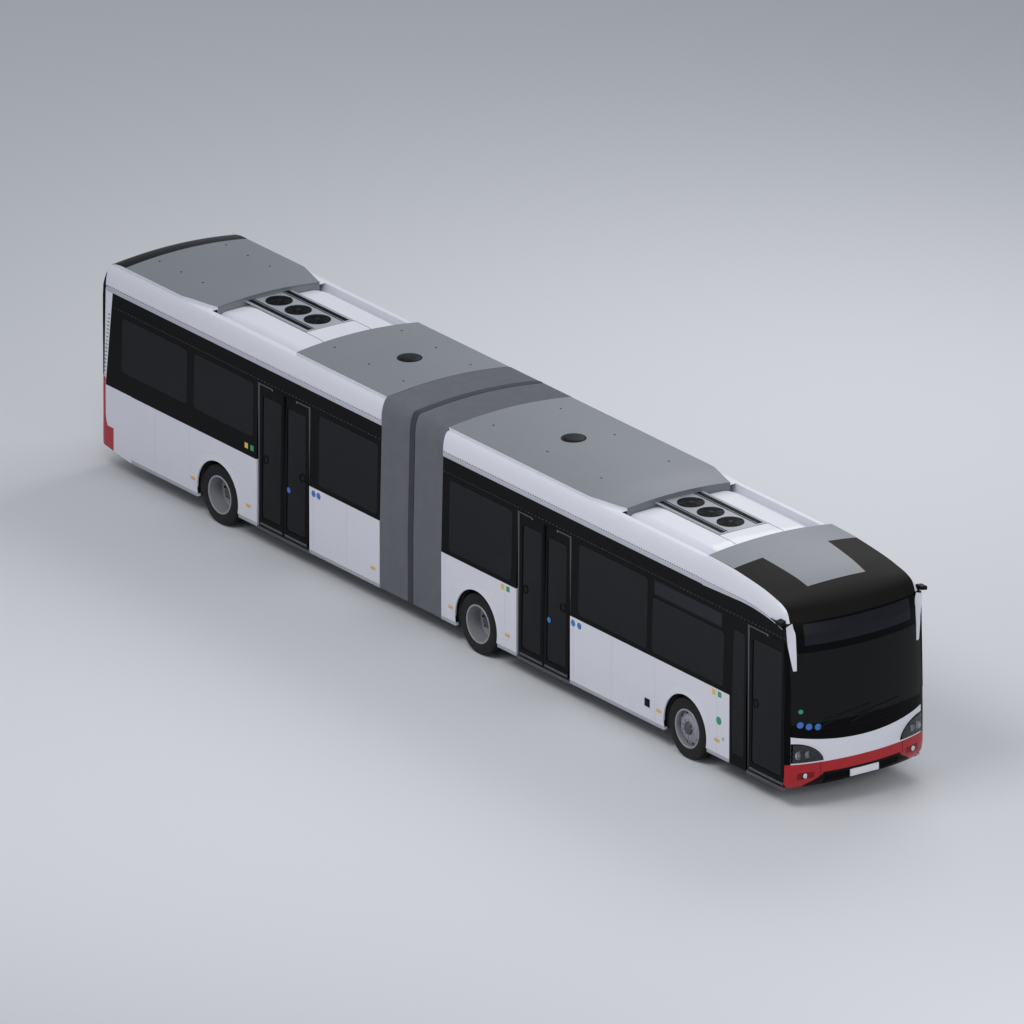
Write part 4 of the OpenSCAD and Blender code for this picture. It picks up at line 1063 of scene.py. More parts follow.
def make_bellows():
    """Two halves of close pleats, and the dark hoop between them."""
    for name, x0, x1, a, b in (("bellows_front", PIVOT_X + HOOP_HALF, FRONT_END_X, "articulation",
                                "front_section"),
                               ("bellows_rear", REAR_END_X, PIVOT_X - HOOP_HALF, "rear_section",
                                "articulation")):
        pleats = 24

        def skin(u, v, x0=x0, x1=x1):
            x = blend_value(x0, x1, v)
            wave = 0.5 - 0.5 * cos(2.0 * pi * v * pleats)
            p = outline_point(u, -0.014 * (1.0 - wave) - 0.0005)
            return Vector((x, p.y, p.z))
        piece = patch(name + "_pleats", 96, pleats * 6, skin, None, BELLOWS, 0.006, out=(0, 0, 1), angle=60)
        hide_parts(name)
        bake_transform(piece)

    def hoop(u, v):
        x = blend_value(PIVOT_X - HOOP_HALF, PIVOT_X + HOOP_HALF, v)
        bulge = 0.006 * sin(pi * v) - 0.004
        p = outline_point(u, bulge)
        return Vector((x, p.y, p.z))
    patch("middle_hoop", 96, 10, hoop, "articulation", BELLOWS_DARK, 0.02, out=(0, 0, 1), angle=60)


# ------------------------------------------------------------------ sides

WINDOW_TOP, LOW_SILL, HIGH_SILL, WINDOW_R = 2.58, BELT_Z + 0.06, BELT_Z + 0.31, 0.08
FIXED_PANE = (7.475, 7.775, 0.47, 2.44)
# Columns: rear edge, front edge, sill, top
FRONT_RIGHT = [(0.19, 1.83, LOW_SILL, WINDOW_TOP), (3.53, 5.31, LOW_SILL, WINDOW_TOP),
               (5.42, 7.26, LOW_SILL, WINDOW_TOP - 0.26)]
FRONT_LEFT = [(0.19, 1.83, LOW_SILL, WINDOW_TOP), (1.99, 3.40, LOW_SILL, WINDOW_TOP),
              (3.53, 5.31, LOW_SILL, WINDOW_TOP), (5.42, 7.26, LOW_SILL, WINDOW_TOP),
              (7.42, 8.56, LOW_SILL, WINDOW_TOP)]
REAR_RIGHT = [(-8.45, -6.69, HIGH_SILL, WINDOW_TOP), (-6.53, -4.93, HIGH_SILL, WINDOW_TOP),
              (-3.22, -1.66, LOW_SILL, WINDOW_TOP)]
REAR_LEFT = REAR_RIGHT + [(-4.82, -3.38, LOW_SILL, WINDOW_TOP)]


def rounded_ring(x0, x1, z0, z1, r, steps=10):
    """Points of a rounded rectangle, anticlockwise seen from -Y."""
    points = []
    for cx, cz, start in ((x1 - r, z1 - r, 0), (x0 + r, z1 - r, 90), (x0 + r, z0 + r, 180),
                          (x1 - r, z0 + r, 270)):
        for i in range(steps + 1):
            a = radians(start + 90.0 * i / steps)
            points.append((cx + r * cos(a), cz + r * sin(a)))
    return points


def side_ring(name, outer, inner, side, body, material, lift, thick, lean=True):
    """A frame between two rounded outlines on the side's surface; no inner outline makes a pane."""
    count = len(outer)
    centre = (sum(p[0] for p in outer) / count, sum(p[1] for p in outer) / count)

    def at(u, v):
        i = int(round(u * count)) % count
        a, b = outer[i], inner[i] if inner else centre
        x, z = blend_value(a[0], b[0], v), blend_value(a[1], b[1], v)
        return Vector((x, side * ((side_y(z) if lean else HALF_W) + lift), z))
    return patch(name, count, 1 if inner else 4, at, body, material, thick, out=(0, side, 0))


def make_windows():
    """A thin rubber line round each pane bonded flush in the black band."""
    for section, windows, side, label in (("front", FRONT_RIGHT, -1.0, "right"),
                                          ("front", FRONT_LEFT, 1.0, "left"),
                                          ("rear", REAR_RIGHT, -1.0, "right"),
                                          ("rear", REAR_LEFT, 1.0, "left")):
        body = f"{section}_section"
        for i, (x0, x1, z0, z1) in enumerate(windows):
            outer = rounded_ring(x0 - 0.006, x1 + 0.006, z0 - 0.006, z1 + 0.006, WINDOW_R)
            inner = rounded_ring(x0 + 0.006, x1 - 0.006, z0 + 0.006, z1 - 0.006, WINDOW_R - 0.012)
            side_ring(f"{section}_{label}_window_rubber_{i}", outer, inner, side, body, RUBBER, 0.0008, 0.004)
    outer = rounded_ring(*(FIXED_PANE[0] - 0.006, FIXED_PANE[1] + 0.006, FIXED_PANE[2] - 0.006,
                           FIXED_PANE[3] + 0.006), 0.045)
    inner = rounded_ring(*(FIXED_PANE[0] + 0.006, FIXED_PANE[1] - 0.006, FIXED_PANE[2] + 0.006,
                           FIXED_PANE[3] - 0.006), 0.035)
    side_ring("fixed_pane_rubber", outer, inner, -1.0, "front_section", RUBBER, 0.0008, 0.004)
    # blank side display above the foremost right window
    outer = rounded_ring(5.46, 7.20, 2.365, 2.60, 0.03)
    inner = rounded_ring(5.475, 7.185, 2.38, 2.585, 0.02)
    side_ring("side_display_frame", outer, inner, -1.0, "front_section", BLACK_SATIN, 0.0015, 0.004)
    side_ring("side_display", inner, None, -1.0, "front_section", DISPLAY, 0.0005, 0.003)


def flat_disc(name, x, z, radius, side, body, material, lift=0.0012):
    y = side * (side_y(z) + lift)
    return rod(name, (x, y - side * 0.003, z), (x, y, z), radius, body, material, 32, 0.0)


def flat_plate(name, x, z, w, h, side, body, material, lift=0.0015, bevel=0.0):
    y0, y1 = sorted((side * (side_y(z) - 0.002), side * (side_y(z) + lift)))
    return box(name, (x - w / 2, y0, z - h / 2), (x + w / 2, y1, z + h / 2), body, material, bevel, 2)


# Lower side panels between these joints. Columns: section, side label, joint positions
PANEL_JOINTS = [("front", "right", (0.10, 1.66, 3.44, 4.42, 5.52, 7.10)),
                ("front", "left", (0.10, 1.66, 2.60, 3.54, 4.48, 5.52, 7.10, 8.05)),
                ("rear", "right", (-2.45, -3.34, -6.60, -7.52)),
                ("rear", "left", (-2.45, -3.34, -4.30, -5.10, -6.60, -7.52))]
MARKERS = (-6.51, -5.04, -1.76, 0.27, 1.74, 5.63, 7.11)
MARKER_Z = 0.56


def make_sides():
    make_windows()
    for section, label, joints in PANEL_JOINTS:
        side, body = (-1.0 if label == "right" else 1.0), f"{section}_section"
        lines = []
        for x in joints:
            y0, y1 = sorted((side * (HALF_W - 0.004), side * (HALF_W + 0.0006)))
            foot = SKIRT_Z + 0.06
            wheel = min((FRONT_AXLE, MID_AXLE, REAR_AXLE), key=lambda w: abs(w - x))
            if abs(wheel - x) < 0.60:
                continue
            lines.append(box("joint", (x - 0.0015, y0, foot), (x + 0.0015, y1, BELT_Z - 0.004), None,
                             JOINT_GREY, 0.0))
        joined(f"{section}_{label}_panel_joints", lines, body, JOINT_GREY)
    # the belt joint and the silver strip along the skirt's foot
    stretches = [("front", -1.0, FRONT_END_X, 1.96), ("front", -1.0, 3.35, 7.415),
                 ("front", 1.0, FRONT_END_X, CORNER_X),
                 ("rear", -1.0, -8.16, -4.825), ("rear", -1.0, -3.435, REAR_END_X),
                 ("rear", 1.0, -8.16, REAR_END_X)]
    for i, (section, side, x0, x1) in enumerate(stretches):
        body = f"{section}_section"
        y0, y1 = sorted((side * (HALF_W - 0.003), side * (HALF_W + 0.0012)))
        box(f"belt_joint_{i}", (x0, y0, BELT_Z - 0.005), (x1, y1, BELT_Z + 0.004), body, RUBBER, 0.0)
        cuts = [x0] + [w + d for w in (REAR_AXLE, MID_AXLE, FRONT_AXLE) if x0 < w < x1 for d in (-0.553,
                0.553)] + [x1]
        for k in range(0, len(cuts), 2):
            y0, y1 = sorted((side * (HALF_W - 0.006), side * (HALF_W + 0.006)))
            box(f"skirt_strip_{i}_{k}", (cuts[k] + 0.002, y0, SKIRT_Z - 0.002),
                (cuts[k + 1] - 0.002, y1, SKIRT_Z + 0.052),
                body, SILVER, 0.004)
    for side, label in SIDES:
        markers = {"front": [], "rear": []}
        for x in MARKERS:
            section = "front" if x > PIVOT_X else "rear"
            y0, y1 = sorted((side * (HALF_W - 0.004), side * (HALF_W + 0.008)))
            markers[section].append(box("marker", (x - 0.058, y0, MARKER_Z - 0.023),
                                        (x + 0.058, y1, MARKER_Z + 0.023),
                                        None, AMBER, 0.006, 3))
        for section, pieces in markers.items():
            joined(f"{section}_{label}_markers", pieces, f"{section}_section", AMBER)
        # square charging flap
    flat_plate("service_flap", 5.33, 0.60, 0.13, 0.13, -1.0, "front_section", BLACK_SATIN, 0.006, bevel=0.004)
    # unlettered stickers
    for i, (x, z) in enumerate(((3.43, 1.28), (3.59, 1.28), (-3.32, 1.28), (-3.19, 1.28))):
        body = "front_section" if x > 0 else "rear_section"
        flat_disc(f"round_sticker_{i}", x, z, 0.062, -1.0, body, WHITE_LABEL, 0.0012)
        flat_disc(f"round_sticker_face_{i}", x, z, 0.054, -1.0, body, BLUE_LABEL, 0.0018)
    for i, (x, material) in enumerate(((1.61, YELLOW_LABEL), (1.75, GREEN_LABEL), (7.02, YELLOW_LABEL),
                                       (7.17, GREEN_LABEL))):
        flat_plate(f"square_sticker_{i}", x, 1.30, 0.085, 0.085, -1.0, "front_section", material)
    for i, (x, material) in enumerate(((-5.10, YELLOW_LABEL), (-4.95, GREEN_LABEL))):
        flat_plate(f"square_sticker_rear_{i}", x, 1.52, 0.085, 0.085, -1.0, "rear_section", material)
    flat_disc("green_sticker", 7.15, 0.88, 0.065, -1.0, "front_section", GREEN_LABEL)
    flat_disc("grey_sticker", 7.26, 0.62, 0.030, -1.0, "front_section", SILVER)
    # fine dotted joint in the band above the windows
    for section, x0, x1 in (("front", FRONT_END_X, CORNER_X), ("rear", TAIL_CORNER_X, REAR_END_X)):
        for side, label in SIDES:
            z = 2.675
            count = int((x1 - x0) / 0.09)
            places = [(x0 + (i + 0.5) * (x1 - x0) / count, side * (side_y(z) + 0.0005),
                       z) for i in range(count)]
            studs(f"{section}_{label}_band_joint", places, 0.0045, 0.003, f"{section}_section", SILVER)


def make_arches():
    """A pressed flare round each wheel opening, with a dark inner lip and liner."""
    for x, section in ((FRONT_AXLE, "front"), (MID_AXLE, "front"), (REAR_AXLE, "rear")):
        for side, label in SIDES:
            body = f"{section}_section"
            name = f"{section}_{label}_{'steer' if x == FRONT_AXLE else 'twin'}"

            def arch_xz(r, u):
                # up one side, over the top and down the other
                low = SKIRT_Z + 0.055
                reach = asin_clamped((WHEEL_R - low) / r)
                a = blend_value(-reach, pi + reach, u)
                return x - r * cos(a), WHEEL_R + r * sin(a)

            def flare(u, v, side=side):
                r = blend_value(0.545, 0.640, v)
                px, pz = arch_xz(r, u)
                height = 0.007 * smooth(1.0 - v) ** 0.7
                return Vector((px, side * (HALF_W + 0.0006 + height), pz))
            patch(f"{name}_arch_flare", 64, 8, flare, body, WHITE, 0.004, out=(0, side, 0))

            def crease(u, v, side=side):
                r = blend_value(0.728, 0.748, v)
                low = SKIRT_Z + 0.055
                reach = asin_clamped((WHEEL_R - low) / r)
                a = blend_value(-reach, pi + reach, u)
                height = 0.0025 * (1.0 - abs(2.0 * v - 1.0))
                return Vector((x - r * cos(a), side * (HALF_W + 0.0006 + height),
                               min(WHEEL_R + r * sin(a), WHEEL_R + 0.668 - 0.02 * (1 - v))))
            patch(f"{name}_arch_crease", 72, 4, crease, body, WHITE, 0.003, out=(0, side, 0))

            def lip(u, v, side=side):
                px, pz = arch_xz(blend_value(0.548, 0.538, v), u)
                return Vector((px, side * (HALF_W + 0.007 - 0.075 * v), pz))
            patch(f"{name}_arch_lip", 64, 3, lip, body, RUBBER, 0.004, out=(0, side, 0))

            def liner(u, v, side=side):
                px, pz = arch_xz(blend_value(0.540, 0.555, v), u)
                return Vector((px, side * blend_value(HALF_W - 0.058, 0.60 if x != FRONT_AXLE else 0.56, v),
                               pz))
            patch(f"{name}_arch_liner", 48, 4, liner, body, CHASSIS, 0.004, out=None)


def asin_clamped(value):
    return atan2(value, sqrt(max(1e-9, 1.0 - value * value)))


# ------------------------------------------------------------------ doors

LEAF_Z0, LEAF_Z1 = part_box("front_door_leaf")[0][2] + 0.010, 2.600
GLASS_Z0, GLASS_Z1 = 0.470, 2.440
# Columns: leaf, which end its post stands at (-1 rear, 1 front)
LEAVES = (("front_door", -1), ("mid_door_rear", -1), ("mid_door_front", 1), ("rear_door_rear", -1),
          ("rear_door_front", 1))
LEAF_DEPTH = 0.004


def leaf_y(z, out=0.0):
    return -(side_y(z) - LEAF_DEPTH + out)


def make_leaf(door, post_end):
    """A glazed leaf: frame, seals, pane, grab ring, perforated foot rail."""
    low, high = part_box(f"{door}_leaf")
    x0, x1 = low[0], high[0]
    body = f"{door}_leaf"

    def ring_piece(name, outer, inner, out, thick, material):
        count = len(outer)

        def at(u, v):
            i = int(round(u * count)) % count
            x, z = blend_value(outer[i][0], inner[i][0], v), blend_value(outer[i][1], inner[i][1], v)
            return Vector((x, leaf_y(z, out), z))
        return patch(name, count, 2, at, body, material, thick, out=(0, -1, 0))

    edge = rounded_ring(x0 + 0.001, x1 - 0.001, LEAF_Z0, LEAF_Z1, 0.012)
    hole = rounded_ring(x0 + 0.062, x1 - 0.062, GLASS_Z0 - 0.013, GLASS_Z1 + 0.013, 0.050)
    frame_piece = ring_piece(f"{door}_frame", edge, hole, -0.001, 0.034, BLACK)
    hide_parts(f"{door}_leaf")
    seal_in = rounded_ring(x0 + 0.074, x1 - 0.074, GLASS_Z0, GLASS_Z1, 0.040)
    ring_piece(f"{door}_seal", hole, seal_in, 0.0005, 0.030, RUBBER)
    centre = ((x0 + x1) / 2, (GLASS_Z0 + GLASS_Z1) / 2)
    pane = [((p[0] - centre[0]) * 1.01 + centre[0], (p[1] - centre[1]) * 1.004 + centre[1]) for p in seal_in]
    ring_piece(f"{door}_pane", pane, [centre] * len(pane), -0.012, 0.008, SIDE_GLASS)

    # grab ring near the post's edge, as a pressed mark on the glass
    cx = (x0 + 0.160) if post_end < 0 else (x1 - 0.160)
    clear_selection()
    bpy.ops.mesh.primitive_torus_add(major_radius=0.062, minor_radius=0.006, major_segments=40,
                                     minor_segments=8,
        location=(cx, leaf_y(1.43, -0.010), 1.43), rotation=(pi / 2, 0, 0))
    ring = bpy.context.object
    place_in_mesh(ring)
    settle(ring, f"{door}_ring", body, RUBBER)
    # perforated foot rail
    dots = []
    count = int((x1 - x0 - 0.05) / 0.022)
    for z in (LEAF_Z0 + 0.030, LEAF_Z0 + 0.052):
        for i in range(count):
            dots.append((x0 + 0.025 + (i + 0.5) * (x1 - x0 - 0.05) / count, leaf_y(z, 0.0), z))
    studs(f"{door}_foot_dots", dots, 0.0055, 0.003, body, SILVER)
    # rubber finger seal at the meeting edge
    edge_x = x1 if post_end < 0 else x0
    a, b = sorted((edge_x, edge_x - post_end * -0.016 if post_end < 0 else edge_x + 0.016))
    y = leaf_y((LEAF_Z0 + LEAF_Z1) / 2, -0.020)
    box(f"{door}_edge_seal", (a, y - 0.012, LEAF_Z0 + 0.01), (b, y + 0.012, LEAF_Z1 - 0.01), body, RUBBER,
        0.004)


def make_doors():
    for door, post_end in LEAVES:
        make_leaf(door, post_end)
        if door.endswith("front") and door != "front_door":
            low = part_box(f"{door}_leaf")[0]
            flat = rod(f"{door}_sticker", (low[0] + 0.135, leaf_y(1.13, -0.010), 1.13),
                       (low[0] + 0.135, leaf_y(1.13, -0.006), 1.13), 0.045, f"{door}_leaf", BLUE_LABEL, 32,
                       0.0)
        # shaft inside the leaf, from which the arms hold it
        post_low, post_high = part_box(f"{door}_post")
        mid = (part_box(f"{door}_leaf")[0][0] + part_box(f"{door}_leaf")[1][0]) / 2
        pin_y = (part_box(f"{door}_post")[0][1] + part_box(f"{door}_post")[1][1]) / 2
        for k, (z0, z1) in enumerate(((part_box(f"{door}_leaf")[0][2], LEAF_Z0 + 0.012),
                                      (LEAF_Z1 - 0.012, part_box(f"{door}_leaf")[1][2]))):
            rod(f"{door}_pin_{k}", (mid, pin_y, z0), (mid, pin_y, z1), 0.008, f"{door}_leaf", NUT_METAL, 20)
    # dark metal thresholds and black headers of the openings
    for name, section, x0, x1 in (("front_entry", "front", 7.835, 8.785), ("mid_entry", "front", 1.96, 3.35),
                                  ("rear_entry", "rear", -4.825, -3.435)):
        body = f"{section}_section"
        box(f"{name}_threshold", (x0 + 0.004, -HALF_W + 0.004, 0.262), (x1 - 0.004, -HALF_W + 0.062, 0.316),
            body,
            DARK_METAL, 0.004)
        box(f"{name}_header", (x0, -side_y(2.62) - 0.001, 2.606), (x1, -side_y(2.62) + 0.03, 2.632), body,
            RUBBER,
            0.003)


# ------------------------------------------------------------------ wheels

TRACK_Y, TWIN_GAP, TYRE_W, RIM_R = 1.117, 0.330, 0.276, 0.292
WHEEL_TABLE = [("front", FRONT_AXLE, False), ("mid", MID_AXLE, True), ("rear", REAR_AXLE, True)]


def tyre_outline():
    """Closed section of a tyre: bead, bulged sidewall with rings, shoulder, grooved tread."""
    half = TYRE_W / 2
    side = [(RIM_R + 0.001, half - 0.042), (RIM_R + 0.012, half - 0.016), (RIM_R + 0.036, half - 0.008),
            (RIM_R + 0.044, half - 0.005), (RIM_R + 0.050, half - 0.006), (RIM_R + 0.085, half - 0.0015),
            (RIM_R + 0.110, half - 0.001), (RIM_R + 0.116, half - 0.004), (RIM_R + 0.140, half - 0.006),
            (WHEEL_R - 0.030, half - 0.010), (WHEEL_R - 0.012, half - 0.018), (WHEEL_R - 0.003, half - 0.030)]
    tread = []
    for centre in (0.085, 0.030, -0.030, -0.085):
        tread += [(WHEEL_R, centre + 0.007), (WHEEL_R - 0.011, centre + 0.004),
                  (WHEEL_R - 0.011, centre - 0.004),
                  (WHEEL_R, centre - 0.007)]
    return side + tread + [(r, -offset) for r, offset in reversed(side)]


def barrel_outline():
    half = TYRE_W / 2 - 0.010
    return [(RIM_R - 0.014, half - 0.004), (RIM_R - 0.006, half + 0.002), (RIM_R + 0.010, half + 0.002),
            (RIM_R + 0.015, half - 0.004), (RIM_R + 0.012, half - 0.012), (RIM_R, half - 0.022),
            (RIM_R, -half + 0.022),
            (RIM_R + 0.012, -half + 0.012), (RIM_R + 0.015, -half + 0.004), (RIM_R + 0.010, -half - 0.002),
            (RIM_R - 0.006, -half - 0.002), (RIM_R - 0.014, -half + 0.004)]


def wheel_ring(parts, centre, side, radius, offset, count, size, depth, sides=6, tip=None):
    """Bolts, studs or holes in a ring about the wheel's axis."""
    for i in range(count):
        a = 2.0 * pi * (i + 0.5) / count
        p = Vector((centre[0] + radius * cos(a), centre[1] + side * offset, centre[2] + radius * sin(a)))
        parts.append(rod("nut", p, p + Vector((0, side * depth, 0)), size, None, NUT_METAL, sides, 0.0015))
        if tip:
            q = p + Vector((0, side * depth, 0))
            parts.append(rod("stud", q, q + Vector((0, side * tip, 0)), size * 0.55, None, NUT_METAL, 12,
                             0.001))


def make_steer_wheel(centre, side, label):
    body, name = f"front_{label}_wheel", f"front_{label}"
    tyre = turned(f"{name}_tyre_rubber", tyre_outline(), centre, side, body, TYRE, 128, 40)
    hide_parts(f"{name}_tyre")
    turned(f"{name}_barrel", barrel_outline(), centre, side, body, RIM)
    # dished disc that bulges outwards, with a raised seat for the nuts
    face = [(RIM_R - 0.010, 0.030), (0.272, 0.046), (0.250, 0.062), (0.225, 0.074), (0.200, 0.084),
            (0.180, 0.093),
            (0.168, 0.101), (0.150, 0.104), (0.112, 0.104), (0.100, 0.098), (0.094, 0.088)]
    disc = turned(f"{name}_disc", face + [(r, offset - 0.012) for r, offset in reversed(face)], centre,
                  side, body,
                  RIM)
    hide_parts(f"{name}_rim")
    hub = [(0.094, 0.060), (0.094, 0.112), (0.086, 0.122), (0.060, 0.126), (0.054, 0.130), (0.030, 0.131),
           (0.002, 0.131),
           (0.002, 0.060)]
    turned(f"{name}_hub_cap", hub, centre, side, body, DARK_METAL, 64)
    nuts, holes = [], []
    wheel_ring(nuts, centre, side, 0.1375, 0.102, 10, 0.0165, 0.020, 6, tip=0.010)
    joined(f"{name}_nuts", nuts, body, NUT_METAL)
    # Vent holes drawn as black discs set in the disc's face: painted shade of the open holes.
    for i in range(10):
        a = 2.0 * pi * i / 10
        p = Vector((centre[0] + 0.236 * cos(a), centre[1] + side * 0.0665, centre[2] + 0.236 * sin(a)))
        tilt = Vector((cos(a) * 0.42, side * 1.0, sin(a) * 0.42)).normalized()
        holes.append(rod("hole", p - tilt * 0.004, p + tilt * 0.0035, 0.019, None, RUBBER, 20))
    joined(f"{name}_vents", holes, body, RUBBER)


def make_twin_wheel(axle, centre, side, label):
    body, name = f"{axle}_{label}_wheel", f"{axle}_{label}"
    inner = Vector(centre) - Vector((0, side * TWIN_GAP, 0))
    tyre = turned(f"{name}_outer_tyre", tyre_outline(), centre, side, body, TYRE, 128, 40)
    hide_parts(f"{name}_tyres")
    turned(f"{name}_inner_tyre", tyre_outline(), inner, side, body, TYRE, 96, 40)
    turned(f"{name}_outer_barrel", barrel_outline(), centre, side, body, RIM)
    turned(f"{name}_inner_barrel", barrel_outline(), inner, side, body, RIM)
    seat = -TWIN_GAP / 2
    face = [(RIM_R - 0.008, -0.100), (0.284, -0.112), (0.265, -0.126), (0.240, -0.138), (0.215, -0.148),
            (0.195, -0.152), (0.112, -0.152), (0.100, -0.150)]
    disc = turned(f"{name}_disc", face + [(r, offset - 0.014) for r, offset in reversed(face)], centre,
                  side, body,
                  RIM)
    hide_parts(f"{name}_rims")
    back = [(r, 2 * (seat - 0.008) - offset) for r, offset in face]
    turned(f"{name}_back_disc", back + [(r, offset + 0.012) for r, offset in reversed(back)], centre, side,
           body,
           RIM)
    # long hub drum with a flanged end cover
    hub = [(0.104, -0.170), (0.104, -0.060), (0.098, -0.044), (0.088, -0.040), (0.084, -0.030),
           (0.060, -0.026),
           (0.002, -0.026), (0.002, -0.170)]
    turned(f"{name}_hub", hub, centre, side, body, DARK_METAL, 64)
    nuts, bolts, holes = [], [], []
    wheel_ring(nuts, centre, side, 0.150, -0.153, 10, 0.0165, 0.022, 6, tip=0.012)
    joined(f"{name}_nuts", nuts, body, NUT_METAL)
    wheel_ring(bolts, centre, side, 0.072, -0.031, 8, 0.007, 0.006)
    joined(f"{name}_hub_bolts", bolts, body, DARK_METAL)
    # Vent holes drawn as black discs set in the disc's face: painted shade of the open holes.
    for i in range(10):
        a = 2.0 * pi * i / 10
        p = Vector((centre[0] + 0.237 * cos(a), centre[1] - side * 0.1385, centre[2] + 0.237 * sin(a)))
        tilt = Vector((-cos(a) * 0.38, side, -sin(a) * 0.38)).normalized()
        holes.append(rod("hole", p - tilt * 0.004, p + tilt * 0.0035, 0.020, None, RUBBER, 20))
    joined(f"{name}_vents", holes, body, RUBBER)


def make_wheels():
    for axle, x, twin in WHEEL_TABLE:
        for side, label in SIDES:
            centre = (x, side * TRACK_Y, WHEEL_R)
            if twin:
                make_twin_wheel(axle, centre, side, label)
            else:
                make_steer_wheel(centre, side, label)


# ------------------------------------------------------------------ tail

TAIL_BODY = "rear_section"
# The tail in side view. Columns: distance ahead of the rearmost point, height
TAIL_LINE = [(0.060, 0.400), (0.0, 0.50), (0.0, 1.30), (0.060, 2.10), (0.125, 2.98), (0.135, 3.15),
             (0.165, 3.30),
             (0.240, 3.380), (0.400, 3.412), (0.567, 3.420)]
TAIL_BUMPER_TOP, TAIL_BUMPER_LEN = 0.72, 0.435
TAIL_SCREEN = (0.95, 1.72, 2.56)
# front edge of the white corner post, at the belt and at the band's top
POST_FOOT_X, POST_HEAD_X = -8.845, -8.700
TAIL_BOW, BOW_HALF = 0.027, HALF_W - 0.125


def tail_line_x(z):
    for (x0, z0), (x1, z1) in zip(TAIL_LINE, TAIL_LINE[1:]):
        if z <= z1:
            return blend_value(x0, x1, max(0.0, (z - z0) / (z1 - z0)))
    return TAIL_LINE[-1][0]


def tail_point(y, z, lift=0.003):
    """The tail's surface at width y and height z, round into its corners."""
    half = abs(y)
    bow = TAIL_BOW * (min(half, BOW_HALF) / 0.75) ** 2
    x = TAIL_X + bow
    if half > BOW_HALF:
        c = min(1.0, (half - BOW_HALF) / (HALF_W - BOW_HALF))
        depth = TAIL_CORNER_X - (TAIL_X + bow)
        x = TAIL_CORNER_X - depth * sqrt(1.0 - c * c)
    lean = side_y(z) / HALF_W if half > BOW_HALF else 1.0
    return Vector((max(x, TAIL_X + tail_line_x(z)) - lift, y * lean, z))


def tail_wrap(u, z, lift=0.003):
    """Round the tail from the right side (u = 0) to the left: sides, corners and the bowed back."""
    v = 2.0 * abs(u - 0.5)
    side = -1.0 if u < 0.5 else 1.0
    if v > 0.85:
        x = blend_value(TAIL_CORNER_X, TAIL_X + TAIL_BUMPER_LEN, (v - 0.85) / 0.15)
        return Vector((x, side * (side_y(z) + lift * 0.6), z))
    if v > 0.60:
        a = (v - 0.60) / 0.25 * pi / 2
        y = BOW_HALF + (HALF_W - BOW_HALF) * sin(a)
        p = tail_point(y, z, lift * cos(a))
        return Vector((p.x, side * (p.y + lift * 0.6 * sin(a)), z))
    p = tail_point(BOW_HALF * v / 0.60, z, lift)
    return Vector((p.x, side * p.y, z))


